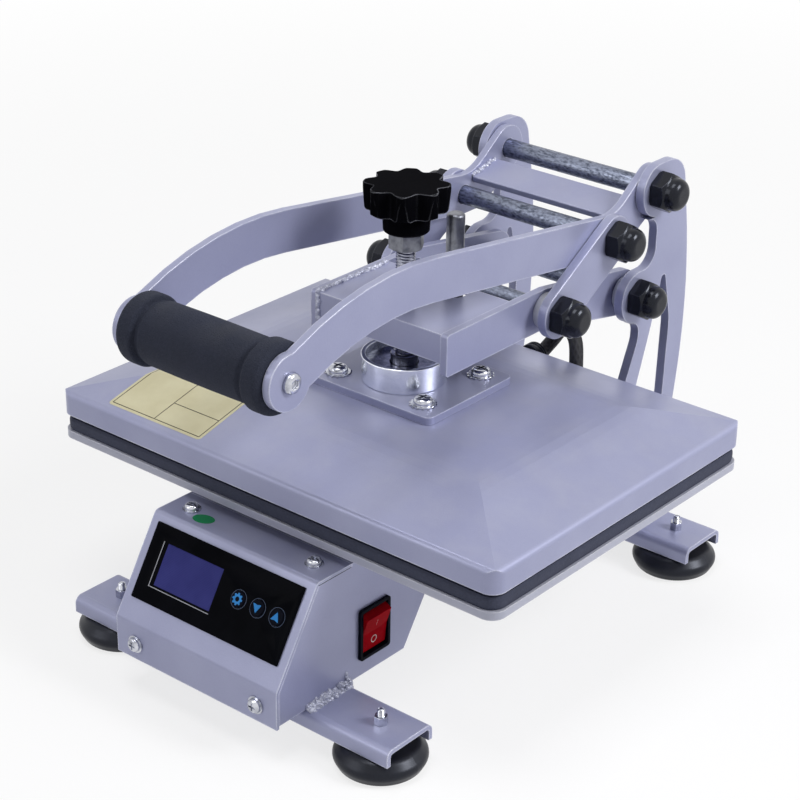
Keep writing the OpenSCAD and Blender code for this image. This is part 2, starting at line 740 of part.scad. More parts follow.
// heater lead and the two boots that hold its ends
function smooth(a, b, c, d, t) =
    0.5 * ((2 * b) + (c - a) * t + (2 * a - 5 * b + 4 * c - d) * t * t + (3 * b - a - 3 * c + d) * t * t * t);
function lead_at(i, t) =
    let (n = len(lead_path) - 1)
    smooth(lead_path[max(i - 1, 0)], lead_path[i], lead_path[i + 1], lead_path[min(i + 2, n)], t);
lead_cuts = 5;
lead_mid = [for (i = [0:len(lead_path) - 2], k = [0:lead_cuts - 1]) lead_at(i, k / lead_cuts)];
lead_line = concat(lead_mid, [lead_path[len(lead_path) - 1]]);
function lead_dir(i) =
    i == 0 || i == len(lead_line) - 1 ? [0, i == 0 ? 1 : -1, 0] : unit(lead_line[i + 1] - lead_line[i - 1]);
function carry(n, t) = unit(n - (n * t) * t);
function frames(i, n) =
    i == len(lead_line) ? [] : let (m = carry(n, lead_dir(i))) concat([m], frames(i + 1, m));
lead_normals = frames(0, [1, 0, 0]);
lead_sides = 10;
module heater_lead() {
    rings = len(lead_line);
    points = [for (i = [0:rings - 1], k = [0:lead_sides - 1])
        let (n = lead_normals[i], b = cross(lead_dir(i), n), a = 360 * k / lead_sides)
        lead_line[i] + lead_r * (cos(a) * n + sin(a) * b)];
    skin = [for (i = [0:rings - 2], k = [0:lead_sides - 1]) let (j = (k + 1) % lead_sides)
        each [[i * lead_sides + k, (i + 1) * lead_sides + k, (i + 1) * lead_sides + j],
              [i * lead_sides + k, (i + 1) * lead_sides + j, i * lead_sides + j]]];
    ends = [[for (k = [0:lead_sides - 1]) k],
            [for (k = [0:lead_sides - 1]) rings * lead_sides - 1 - k]];
    color("#1a1a1c") polyhedron(points, concat(skin, ends), convexity = 10);
}
module boot(l) {
    rotate_extrude() polygon([[0, 0], [9, 0], [9, 3], [6.5, 4], [5.6, l], [0, l]]);
}
module platen_boot() {
    color("#1a1a1c") translate([lead_x, rear_y, lead_z]) rotate([-90, 0, 0]) boot(boot_l);
}
module box_boot() {
    color("#1a1a1c") translate([lead_down_x, box_back, lead_in_z]) rotate([-90, 0, 0]) {
        boot(boot_l);
        translate([0, 0, -box_t - 3]) cylinder(h = box_t + 3, r = 6);
    }
}

// heated upper platen
module cover_form(t) {
    hw = platen_w / 2 - t;
    hd = platen_d / 2 - t;
    top = cover_top - t;
    bend = crown_z - t * 0.88;
    low = t > 0 ? skirt_z - 1 : skirt_z;
    run = crown_run - t * 0.12;
    intersection() {
        front(platen_y - hd - 1, platen_y + hd + 1) polygon(rounded([
            [-hw, low, 0], [-hw, bend, 4], [-hw + run, top, 90], [hw - run, top, 90],
            [hw, bend, 4], [hw, low, 0]]));
        side(-hw - 1, hw + 1) polygon(rounded([
            [platen_y - hd, low, 0], [platen_y - hd, bend, 4], [platen_y - hd + run, top, 90],
            [platen_y + hd - run, top, 90], [platen_y + hd, bend, 4], [platen_y + hd, low, 0]]));
        slab(2 * hw, 2 * hd, max(platen_corner - t, 2), low - 1, cover_top + 1);
    }
}
module at_mount_screws() {
    for (x = [-1, 1], y = [-1, 1])
        translate([x * mount_screw_x, mount_y + y * mount_screw_y, 0]) children();
}
module platen_cover() {
    color("#a3a6bd") difference() {
        cover_form(0);
        cover_form(cover_t);
        at_mount_screws() translate([0, 0, cover_top - 8]) cylinder(h = 16, r = mount_screw_r + run_fit);
    }
}
module heating_plate() {
    w = platen_w - 2 * cover_t - 2 * heater_fit;
    d = platen_d - 2 * cover_t - 2 * heater_fit;
    color("#2a2a2d") difference() {
        slab(w, d, platen_corner - cover_t, heater_z, heater_top);
        at_mount_screws() translate([0, 0, heater_top - 8]) cylinder(h = 9, r = mount_screw_r + run_fit);
        pole(sensor_x, platen_y, sensor_r + run_fit, heater_top - 9, heater_top + 1);
    }
}
sensor_x = platen_w / 2 - crown_run - 25;
sensor_r = 3;
element_h = 6;
module heating_element() {
    w = platen_w - 2 * crown_run + 8;
    d = 0.68 * platen_d;
    color("dimgray") difference() {
        slab(w, d, 0.25 * platen_d, heater_top, heater_top + element_h);
        slab(w - 16, d - 16, 0.25 * platen_d - 8, heater_top - 1, heater_top + element_h + 1);
    }
}
module heat_sensor() {
    color("lightgray") pole(sensor_x, platen_y, sensor_r, heater_top - 9, heater_top + 4);
}
module insulation_mat() {
    color("ivory") difference() {
        slab(platen_w - 2 * crown_run - 30, platen_d - 2 * crown_run - 30, 10,
             heater_top, cover_top - cover_t);
        at_mount_screws() translate([0, 0, heater_top - 1]) cylinder(h = 30, r = mount_screw_r + 1);
        pole(sensor_x, platen_y, sensor_r + 0.5, heater_top - 1, heater_top + 4.5);
    }
}

// mounting plate, cup and guide post
module mount_plate() {
    color("silver") difference() {
        translate([0, mount_y, cover_top]) linear_extrude(mount_t) polygon(rect(mount_w, mount_d, 5));
        at_mount_screws() translate([0, 0, cover_top - 1])
            cylinder(h = mount_t + 2, r = mount_screw_r + run_fit);
    }
}
washer_t = 1.2;
module mount_screws() {
    color("lightgray") at_mount_screws() {
        translate([0, 0, mount_top]) cylinder(h = washer_t, r = 2.5 * mount_screw_r);
        translate([0, 0, mount_top + washer_t])
            pan_screw(mount_screw_r, mount_top + washer_t - heater_top + 7.5);
    }
}
flange_z = mount_top + cup_floor + move_gap;
flange_h = 4;
flange_r = 14;
sleeve_r = screw_r + 2.3;
cup_in = cup_r - cup_wall;
module pressure_cup() {
    color("lightgray") translate([0, screw_y, 0]) rotate_extrude() polygon(rounded([
        [0, mount_top, 0], [cup_r, mount_top, 0.6], [cup_r, cup_top, 0.8], [cup_in, cup_top, 0.8],
        [cup_in, mount_top + cup_floor, 0], [0, mount_top + cup_floor, 0]]));
}
module cup_ring() {
    z = flange_z + flange_h + move_gap;
    color("dimgray") translate([0, screw_y, 0]) difference() {
        union() {
            translate([0, 0, z]) cylinder(h = 1.6, r = cup_in);
            difference() {
                translate([0, 0, mount_top + cup_floor])
                    cylinder(h = z - mount_top - cup_floor + eps, r = cup_in);
                translate([0, 0, mount_top]) cylinder(h = z, r = flange_r + move_gap);
            }
        }
        cylinder(h = 2 * z, r = sleeve_r + move_gap);
    }
}
module guide_post() {
    color("lightgray") translate([post_x, post_y, mount_top]) rotate_extrude() polygon([
        [0, 0], [post_r, 0], [post_r, post_l - 1.2], [post_r - 1.2, post_l], [0, post_l]]);
}

// pressure screw and its knob
module pressure_screw() {
    color("lightgray") translate([0, screw_y, 0]) rotate_extrude() polygon([
        [0, flange_z], [flange_r, flange_z], [flange_r, flange_z + flange_h],
        [sleeve_r, flange_z + flange_h],
        [sleeve_r, cup_top + 0.5], [screw_r, cup_top + 0.5],
        [screw_r, knob_z + 6], [screw_r - 1, knob_z + 7], [0, knob_z + 7]]);
}
module lock_nut() {
    c = lock_af / sqrt(3);
    color("lightgray") translate([0, screw_y, 0]) difference() {
        intersection() {
            translate([0, 0, lock_z]) cylinder(h = lock_h, r = c, $fn = 6);
            rotate_extrude() polygon([
                [0, lock_z], [c - 1.2, lock_z], [c, lock_z + 0.8], [c, hub_z - 0.8],
                [c - 1.2, hub_z], [0, hub_z]]);
        }
        translate([0, 0, lock_z - 1]) cylinder(h = lock_h + 2, r = screw_r + run_fit);
    }
}
module star_knob() {
    n = knob_lobes;
    outline = [for (i = [0:24 * n - 1])
        let (a = 360 * i / (24 * n), w = cos(n * a), r = knob_r - knob_dip * (1 - w) * (1 - 0.2 * w) / 2.4)
        r * [sin(a + knob_turn), -cos(a + knob_turn)]];
    color("#151517") translate([0, screw_y, 0]) difference() {
        union() {
            rotate_extrude() polygon(rounded([
                [0, hub_z, 0], [knob_hub_r - 0.8, hub_z, 1.2], [knob_hub_r, knob_z + 1, 0],
                [0, knob_z + 1, 0]]));
            intersection() {
                translate([0, 0, knob_z]) linear_extrude(knob_h) polygon(outline);
                rotate_extrude() polygon(rounded([
                    [0, knob_z, 0], [knob_r - 1.2, knob_z, 1.8], [knob_r + 0.2, knob_top - 0.8, 0],
                    [knob_r - 0.8, knob_top, 0], [0, knob_top, 0]]));
            }
        }
        translate([0, 0, hub_z - 1]) cylinder(h = knob_z + 7 - hub_z + 1 + run_fit, r = screw_r + run_fit);
    }
}

// press beam with its nut and link shaft
wall_end_r = 15;
wall_proud = 0.8;
module press_beam() {
    y0 = screw_y - beam_front;
    y1 = screw_y + beam_back;
    plate_y = y0 + wall_proud;
    plate_z = beam_top - wall_proud;
    color("#a3a6bd") difference() {
        union() {
            for (s = [-1, 1]) side(beam_in, beam_half, s) {
                polygon(rounded([
                    [y0, beam_z, 1.5], [y0, beam_top, 2.5], [d_piv[0], beam_top, 0],
                    [d_piv[0], beam_z, 0]]));
                polygon(bar(d_piv, beam_h / 2, c_piv, wall_end_r));
            }
            block([-beam_in - 1, plate_y, beam_top - beam_top_t], [beam_in + 1, y1, plate_z]);
            block([-beam_in - 1, plate_y, beam_top - beam_apron],
                  [beam_in + 1, plate_y + beam_wall, plate_z]);
        }
        pole(0, screw_y, screw_r + 0.5, beam_top - 20, beam_top + 1);
        pole(post_x, post_y, post_r + 2.5, beam_top - 20, beam_top + 1);
        rod(c_piv, shaft_r + run_fit, -beam_w, beam_w);
        rod(d_piv, shaft_r + run_fit, -beam_w, beam_w);
    }
}
module beam_nut() {
    z1 = beam_top - beam_top_t;
    color("dimgray") translate([0, screw_y, 0]) difference() {
        translate([0, 0, z1 - 10]) cylinder(h = 10, r = 2 * screw_r, $fn = 6);
        translate([0, 0, z1 - 11]) cylinder(h = 12, r = screw_r + run_fit);
    }
}
module link_shaft() { color("lightgray") shaft(d_piv, bar_in - move_gap); }
module link_spacers() {
    color("silver") for (s = [-1, 1])
        ring(d_piv, spacer_r, shaft_r + run_fit, beam_half, bar_in - move_gap, s);
}

// links with the knee shaft
module link(s) {
    color("#a3a6bd") difference() {
        side(bar_in, bar_out, s) polygon(bar(b_piv, link_half, d_piv, link_half));
        rod(b_piv, shaft_r + run_fit, bar_in - 1, bar_out + 1, s);
        rod(d_piv, shaft_r + run_fit, bar_in - 1, bar_out + 1, s);
    }
}
module link_left() { link(-1); }
module link_right() { link(1); }
module knee_shaft() { color("lightgray") shaft(b_piv, bar_out); }
module link_pins() { color("lightgray") for (s = [-1, 1]) rod(d_piv, shaft_r, bar_in, bar_out, s); }
module link_caps() {
    color("#1b1b1d") for (s = [-1, 1]) {
        cap_nut(b_piv, s);
        cap_nut(d_piv, s);
    }
}

// handle
heel = b_piv + [14.5, 0];
heel_u = unit(a_piv - heel);
tie_c = b_piv + [20, 11.2];
tie_tilt = 14;
core_r = 9;
// point where two lines meet, each given by a point and a direction
function meet(p, u, q, v) =
    p + u * ((q[0] - p[0]) * v[1] - (q[1] - p[1]) * v[0]) / (u[0] * v[1] - u[1] * v[0]);
function polar(a) = [cos(a), sin(a)];
module arm_outline() {
    half = arm_depth / 2;
    a0 = 90 - arm_rise;
    a1 = a0 + arm_bend;
    back = sqrt(max(1, arm_end_r * arm_end_r - half * half));
    cut = asin(back / (arm_bend_r - half)) + 0.5;
    wrap = atan2(back, half);
    rise = atan2(heel_u[1], heel_u[0]);
    lean = acos((half - arm_lobe_r) / norm(a_piv - heel));
    q = a_piv + arm_lobe_r * polar(rise + lean);
    v = meet(b_piv + half * arm_up, arm_dir, q, polar(rise + lean - 90));
    polygon(concat(
        arc(arm_c, arm_bend_r + half, a1 - cut, a0),
        corner(v + 40 * arm_dir, [v[0], v[1], 30], q),
        arc(a_piv, arm_lobe_r, rise + lean, rise - lean),
        arc(heel, half, rise - lean, -90),
        arc(b_piv, half, -90, -90 - arm_rise),
        arc(arm_c, arm_bend_r - half, a0, a1 - cut),
        arc(grip_c, arm_end_r, a1 + 180 + wrap, a1 - wrap)));
}
module handle_arm(s) {
    color("#a3a6bd") difference() {
        side(arm_in, arm_out, s) arm_outline();
        rod(a_piv, shaft_r + run_fit, arm_in - 1, arm_out + 1, s);
        rod(b_piv, shaft_r + run_fit, arm_in - 1, arm_out + 1, s);
        rod(grip_c, grip_bolt_r + run_fit, arm_in - 1, arm_out + 1, s);
    }
}
grip_bolt_r = 4;
module arm_left() { handle_arm(-1); }
module arm_right() { handle_arm(1); }
module tie_plate() {
    color("#a3a6bd") side(-arm_in, arm_in)
        translate(tie_c) rotate(tie_tilt) polygon(rect(tie_w, tie_t, 0.8));
}
module grip_core() {
    color("gray") difference() {
        rod(grip_c, core_r, -arm_in, arm_in);
        for (s = [-1, 1]) rod(grip_c, grip_bolt_r + run_fit, arm_in - 18, arm_in + 1, s);
    }
}
module foam_grip() {
    h = arm_in - move_gap;
    color("#242428") translate([0, grip_c[0], grip_c[1]]) rotate([0, 90, 0])
        rotate_extrude() polygon(rounded([
        [core_r + run_fit, -h, 0], [collar_r, -h, 3], [collar_r, -h + collar_l, 3],
        [grip_r, -h + collar_l + 3, 2],
        [grip_r, h - collar_l - 3, 2], [collar_r, h - collar_l, 3], [collar_r, h, 3],
        [core_r + run_fit, h, 0]]));
}
module grip_bolts() {
    color("lightgray") for (s = [-1, 1]) {
        rod(grip_c, grip_bolt_r, arm_in - 17, arm_out, s);
        translate([s * arm_out, grip_c[0], grip_c[1]]) rotate([0, s * 90, 0]) difference() {
            rotate_extrude() polygon(rounded([[0, 0, 0], [6.2, 0, 0], [5.8, 3.2, 2.4], [0, 3.8, 0]]));
            translate([0, 0, 2]) cylinder(h = 4, r = 2.6, $fn = 6);
        }
    }
}

front_rail();
rear_rail();
rubber_feet();
foot_bolts();
spine_tube();
tower_plate();
upright_left();
upright_right();
handle_shaft();
beam_shaft();
pivot_spacers();
frame_caps();
lower_platen();
lower_screws();
silicone_pad();
box_body();
box_cover();
cover_screws();
control_panel();
display_window();
circuit_board();
relay();
switch_frame();
rocker();
key_set();
key_down();
key_up();
power_inlet();
heater_lead();
box_boot();
platen_boot();
platen_cover();
heating_plate();
heating_element();
heat_sensor();
insulation_mat();
mount_plate();
mount_screws();
pressure_cup();
cup_ring();
guide_post();
pressure_screw();
lock_nut();
star_knob();
press_beam();
beam_nut();
link_shaft();
link_spacers();
link_left();
link_right();
knee_shaft();
link_pins();
link_caps();
arm_left();
arm_right();
tie_plate();
grip_core();
foam_grip();
grip_bolts();
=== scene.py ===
"""Looks of a small manual heat press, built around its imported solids, in metres."""

from __future__ import annotations

import json
import logging
import math
from dataclasses import dataclass
from enum import Enum
from functools import cached_property
from typing import Iterable, Sequence

import bmesh
import bpy
from mathutils import Matrix, Vector
from mathutils.bvhtree import BVHTree

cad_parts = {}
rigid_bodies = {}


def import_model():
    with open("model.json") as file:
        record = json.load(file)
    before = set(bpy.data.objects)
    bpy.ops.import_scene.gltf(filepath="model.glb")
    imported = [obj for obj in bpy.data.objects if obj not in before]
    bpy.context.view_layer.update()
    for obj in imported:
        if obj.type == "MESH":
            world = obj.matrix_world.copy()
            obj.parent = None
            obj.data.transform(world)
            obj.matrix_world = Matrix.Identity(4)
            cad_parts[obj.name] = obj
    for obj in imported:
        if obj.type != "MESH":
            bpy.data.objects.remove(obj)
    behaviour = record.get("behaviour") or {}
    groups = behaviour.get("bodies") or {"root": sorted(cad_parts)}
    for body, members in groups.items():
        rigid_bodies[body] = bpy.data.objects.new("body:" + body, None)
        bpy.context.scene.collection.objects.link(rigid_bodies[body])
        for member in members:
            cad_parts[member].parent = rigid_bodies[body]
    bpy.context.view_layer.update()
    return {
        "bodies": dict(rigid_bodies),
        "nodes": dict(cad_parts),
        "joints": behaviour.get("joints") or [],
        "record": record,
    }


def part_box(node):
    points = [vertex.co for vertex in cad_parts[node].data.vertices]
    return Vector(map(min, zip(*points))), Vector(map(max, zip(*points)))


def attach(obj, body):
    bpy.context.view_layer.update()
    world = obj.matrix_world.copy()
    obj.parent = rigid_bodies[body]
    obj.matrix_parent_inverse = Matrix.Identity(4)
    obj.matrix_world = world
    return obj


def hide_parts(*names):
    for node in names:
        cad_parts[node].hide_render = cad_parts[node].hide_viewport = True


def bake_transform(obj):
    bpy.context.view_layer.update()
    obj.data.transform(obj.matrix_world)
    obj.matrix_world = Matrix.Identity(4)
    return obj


Colour = tuple[float, float, float, float]
Point = tuple[float, float, float]
Spot = tuple[float, float]
Mesh = bpy.types.Mesh
Socket = bpy.types.NodeSocket
Tree = bpy.types.NodeTree

MM = 0.001
FULL_TURN = 2 * math.pi
RIGHT = Vector((1.0, 0.0, 0.0))
BACK = Vector((0.0, 1.0, 0.0))
UP = Vector((0.0, 0.0, 1.0))
WHITE: Colour = (1.0, 1.0, 1.0, 1.0)
NOISE_RANGE: Spot = (0.3, 0.7)
FLAT_WITHIN = 2e-5
SHARP_EDGE = 35.0
SHARP_THREAD = 20.0
LOG = logging.getLogger("heat_press")


class Side(Enum):
    """Left and right of the press, as signs along X."""

    LEFT = -1
    RIGHT = 1


class KeySign(Enum):
    """Sign on a key of the panel, by the key's node."""

    GEAR = "key_set"
    DOWN = "key_down"
    UP = "key_up"


class Along(Enum):
    """Direction in which a metal's fine lines run, as stretch along X, Y and Z."""

    X = (4.0, 9.0, 9.0)
    Z = (14.0, 14.0, 1.0)
    NONE = (5.0, 5.0, 5.0)


def linear(value: int) -> float:
    """Linear share of a screen value from 0 to 255."""
    share = value / 255
    return share / 12.92 if share <= 0.04045 else ((share + 0.055) / 1.055) ** 2.4


def screen(red: int, green: int, blue: int) -> Colour:
    """Linear colour of three screen values from 0 to 255."""
    return (linear(red), linear(green), linear(blue), 1.0)


class Sketch:
    """Lays nodes in a tree and links them as they are laid."""

    def __init__(self, tree: Tree) -> None:
        """Keeps the tree that is laid out."""
        self.tree = tree

    def add(self, kind: str, feeds: dict | None = None, **settings: object) -> bpy.types.Node:
        """Adds one node.

        Args:
            kind: The node's type name.
            feeds: Values or sockets for its inputs, by name or index.
            settings: Properties of the node itself, set before its inputs.

        Returns:
            The new node.
        """
        node = self.tree.nodes.new(kind)
        for name, value in settings.items():
            setattr(node, name, value)
        self.feed(node, feeds or {})
        return node

    def feed(self, node: bpy.types.Node, feeds: dict) -> None:
        """Gives a node's inputs their values or links.

        Args:
            node: The node.
            feeds: Values or sockets for its inputs, by name or index.
        """
        for key, value in feeds.items():
            if isinstance(value, Socket):
                self.tree.links.new(value, node.inputs[key])
            else:
                node.inputs[key].default_value = value

    def first(self, kind: str, feeds: dict | None = None, **settings: object) -> Socket:
        """First output of a new node."""
        return self.add(kind, feeds, **settings).outputs[0]

    def group(self, tree: Tree, values: dict) -> bpy.types.NodeOutputs:
        """Outputs of a shared group with its own values."""
        return self.add("ShaderNodeGroup", values, node_tree=tree).outputs

    def spot(self) -> Socket:
        """Place on the piece, in its own coordinates."""
        return self.add("ShaderNodeTexCoord").outputs["Object"]

    def noise(self, spot: Socket, scale: object, detail: float) -> Socket:
        """Smooth noise at a place."""
        feeds = {"Vector": spot, "Scale": scale, "Detail": detail}
        return self.add("ShaderNodeTexNoise", feeds).outputs["Fac"]

    def mix(self, share: object, first: object, second: object) -> Socket:
        """Colour between two others."""
        feeds = {0: share, 6: first, 7: second}
        return self.add("ShaderNodeMix", feeds, data_type="RGBA").outputs[2]

    def span(self, value: object, low: float, high: float, at: Spot = (0.0, 1.0)) -> Socket:
        """Value mapped from the range `at` to the range low to high."""
        return self.first("ShaderNodeMapRange", {0: value, 1: at[0], 2: at[1], 3: low, 4: high})

    def around(self, noise: Socket, middle: float, spread: float) -> Socket:
        """Value that noise moves by a spread to both sides of a middle."""
        return self.span(noise, middle - spread, middle + spread, NOISE_RANGE)

    def calc(self, operation: str, first: object, second: object) -> Socket:
        """Result of one sum on two values."""
        return self.first("ShaderNodeMath", {0: first, 1: second}, operation=operation)

    def bump(self, height: object, strength: float, distance: float) -> Socket:
        """Normal of a surface with that relief."""
        feeds = {"Height": height, "Strength": strength, "Distance": distance}
        return self.first("ShaderNodeBump", feeds)


class Effects:
    """Shader groups that several finishes share."""

    def __init__(self) -> None:
        """Builds each group once."""
        self.grain = self._grain()
        self.wear_and_highlight = self._wear_and_highlight()
        self.dust = self._dust()
        self.streaks = self._streaks()
        self.cells = self._cells()

    @staticmethod
    def _open(name: str, inputs: dict[str, float], outputs: Sequence[str]) -> tuple:
        """Starts a group of plain values.

        Args:
            name: Name of the group.
            inputs: Input names with their usual values.
            outputs: Output names.

        Returns:
            The sketch, the sockets that come in and the node that ends the group.
        """
        tree = bpy.data.node_groups.new(name, "ShaderNodeTree")
        for label, value in inputs.items():
            socket = tree.interface.new_socket(label, in_out="INPUT", socket_type="NodeSocketFloat")
            socket.default_value = value
        for label in outputs:
            tree.interface.new_socket(label, in_out="OUTPUT", socket_type="NodeSocketFloat")
        sketch = Sketch(tree)
        return sketch, sketch.add("NodeGroupInput").outputs, sketch.add("NodeGroupOutput")

    def _grain(self) -> Tree:
        """Builds a slow change of tone and a fine relief.

        Returns:
            The group.
        """
        sketch, enter, leave = self._open("Grain", {"Coarse": 30.0, "Fine": 900.0}, ("Tone", "Height"))
        spot = sketch.spot()
        slow = sketch.noise(spot, enter["Coarse"], 4.0)
        sketch.feed(leave, {"Tone": slow, "Height": sketch.noise(spot, enter["Fine"], 2.0)})
        return sketch.tree

    def _wear_and_highlight(self) -> Tree:
        """Builds a mask of edges that are rubbed bright, partly by wear and partly as painted highlight,
        broken up by noise.

        Returns:
            The group.
        """
        sketch, enter, leave = self._open("Edge wear and highlight", {"Width": 0.001, "Breakup": 60.0}, ("Mask",))
        soft = sketch.add("ShaderNodeBevel", {"Radius": enter["Width"]}, samples=4).outputs["Normal"]
        flat = sketch.add("ShaderNodeNewGeometry").outputs["Normal"]
        match = sketch.add("ShaderNodeVectorMath", {0: soft, 1: flat}, operation="DOT_PRODUCT")
        edge = sketch.span(match.outputs["Value"], 1.0, 0.0, at=(0.74, 0.99))
        noise = sketch.noise(sketch.spot(), enter["Breakup"], 5.0)
        broken = sketch.span(noise, 0.25, 1.0, at=(0.34, 0.56))
        sketch.feed(leave, {"Mask": sketch.calc("MULTIPLY", edge, broken)})
        return sketch.tree

    def _dust(self) -> Tree:
        """Builds a mask of dust on faces that look up.

        Returns:
            The group.
        """
        sketch, enter, leave = self._open("Dust", {"Amount": 0.1, "Scale": 45.0}, ("Mask",))
        normal = sketch.add("ShaderNodeNewGeometry").outputs["Normal"]
        height = sketch.add("ShaderNodeSeparateXYZ", {0: normal}).outputs["Z"]
        upward = sketch.span(height, 0.0, 1.0, at=(0.55, 1.0))
        patch = sketch.span(sketch.noise(sketch.spot(), enter["Scale"], 6.0), 0.0, 1.0, at=(0.42, 0.7))
        amount = sketch.calc("MULTIPLY", upward, enter["Amount"])
        sketch.feed(leave, {"Mask": sketch.calc("MULTIPLY", amount, patch)})
        return sketch.tree

    def _streaks(self) -> Tree:
        """Builds long marks of drawn, turned or plated metal.

        Returns:
            The group.
        """
        names = {"Scale": 60.0, "Along X": 1.0, "Along Y": 1.0, "Along Z": 1.0}
        sketch, enter, leave = self._open("Streaks", names, ("Tone",))
        feeds = {0: enter["Along X"], 1: enter["Along Y"], 2: enter["Along Z"]}
        stretch = sketch.first("ShaderNodeCombineXYZ", feeds)
        drawn = sketch.first("ShaderNodeVectorMath", {0: sketch.spot(), 1: stretch}, operation="MULTIPLY")
        noise = sketch.noise(drawn, enter["Scale"], 6.0)
        sketch.feed(leave, {"Tone": sketch.span(noise, 0.0, 1.0, NOISE_RANGE)})
        return sketch.tree

    def _cells(self) -> Tree:
        """Builds small closed cells, as on foam and cast rubber.

        Returns:
            The group.
        """
        sketch, enter, leave = self._open("Cells", {"Scale": 1200.0}, ("Tone", "Height"))
        cell = sketch.add("ShaderNodeTexVoronoi", {"Vector": sketch.spot(), "Scale": enter["Scale"]})
        tone = sketch.first("ShaderNodeSeparateColor", {0: cell.outputs["Color"]})
        sketch.feed(leave, {"Tone": tone, "Height": cell.outputs["Distance"]})
        return sketch.tree


def blank_material(name: str) -> tuple[bpy.types.Material, Sketch, bpy.types.Node]:
    """Starts a material.

    Args:
        name: Name of the material.

    Returns:
        The material, the sketch of its nodes and its shader.
    """
    material = bpy.data.materials.new(name)
    material.use_nodes = True
    return material, Sketch(material.node_tree), material.node_tree.nodes["Principled BSDF"]


@dataclass(frozen=True)
class Finish:
    """What every finish starts from: its name and the two tones that it varies between."""

    name: str
    tone: Colour
    shade: Colour

    def make(self, effects: Effects) -> bpy.types.Material:
        """Makes the material of the finish.

        Args:
            effects: The shared shader groups.

        Returns:
            The material.
        """
        material, sketch, shader = blank_material(self.name)
        sketch.feed(shader, self.inputs(sketch, effects))
        return material

    def inputs(self, sketch: Sketch, effects: Effects) -> dict:
        """Values and sockets for the shader, by input; each kind of finish has its own."""
        raise NotImplementedError

    def flecked(self, sketch: Sketch, slow: Socket, fleck: Socket, share: float) -> Socket:
        """Moves the tone towards the shade by slow noise and by small cells.

        Args:
            sketch: Sketch of the material.
            slow: The slow noise.
            fleck: Tone of the cells.
            share: Part of the way that the noise moves it; the cells move it by the rest.

        Returns:
            The colour.
        """
        noise = sketch.span(slow, 0.0, share, NOISE_RANGE)
        cells = sketch.span(fleck, 0.0, 1 - share)
        return sketch.mix(sketch.calc("ADD", noise, cells), self.tone, self.shade)


@dataclass(frozen=True)
class PaintFinish(Finish):
    """Satin paint with metal flakes over steel."""

    # colour of the edges: partly rubbed paint, partly painted highlight
    bright: Colour
    dust: Colour = screen(206, 204, 202)
    roughness: float = 0.37
    spread: float = 0.07
    metallic: float = 0.3
    coarse: float = 22.0
    flakes: float = 2600.0
    peel: float = 750.0
    relief: float = 0.12
    depth: float = 0.0004
    wear_and_highlight_width: float = 0.0015
    dusty: float = 0.1

    def inputs(self, sketch: Sketch, effects: Effects) -> dict:
        """Lays out the paint, with bright edges that are partly wear and partly painted highlight, orange
        peel and a little dust.

        Args:
            sketch: Sketch of the material.
            effects: The shared shader groups.

        Returns:
            Values and sockets for the shader.
        """
        grain = sketch.group(effects.grain, {"Coarse": self.coarse, "Fine": self.peel})
        flakes = sketch.group(effects.cells, {"Scale": self.flakes})
        wear_and_highlight = sketch.group(effects.wear_and_highlight, {"Width": self.wear_and_highlight_width})
        dust = sketch.group(effects.dust, {"Amount": self.dusty})
        colour = self.flecked(sketch, grain["Tone"], flakes["Tone"], 0.7)
        # edges lightened towards the bright colour: partly wear, partly painted highlight
        colour = sketch.mix(wear_and_highlight["Mask"], colour, self.bright)
        return {"Base Color": sketch.mix(dust["Mask"], colour, self.dust), "Metallic": self.metallic,
                "Roughness": sketch.around(grain["Tone"], self.roughness, self.spread),
                "Normal": sketch.bump(grain["Height"], self.relief, self.depth)}


@dataclass(frozen=True)
class MetalFinish(Finish):
    """Bare or plated metal with drawn marks."""

    roughness: float
    spread: float
    scale: float = 40.0
    along: Along = Along.NONE
    coarse: float = 140.0
    fine: float = 1800.0
    relief: float = 0.08
    depth: float = 0.0003

    def inputs(self, sketch: Sketch, effects: Effects) -> dict:
        """Lays out the metal, with streaks in tone and gloss.

        Args:
            sketch: Sketch of the material.
            effects: The shared shader groups.

        Returns:
            Values and sockets for the shader.
        """
        stretch = dict(zip(("Along X", "Along Y", "Along Z"), self.along.value))
        streaks = sketch.group(effects.streaks, {"Scale": self.scale, **stretch})["Tone"]
        grain = sketch.group(effects.grain, {"Coarse": self.coarse, "Fine": self.fine})
        dark = sketch.span(sketch.calc("MULTIPLY", streaks, grain["Tone"]), 0.0, 1.0, at=(0.1, 0.5))
        low, high = self.roughness - self.spread / 2, self.roughness + self.spread / 2
        return {"Base Color": sketch.mix(dark, self.tone, self.shade), "Metallic": 1.0,
                "Roughness": sketch.span(streaks, low, high),
                "Normal": sketch.bump(grain["Height"], self.relief, self.depth)}


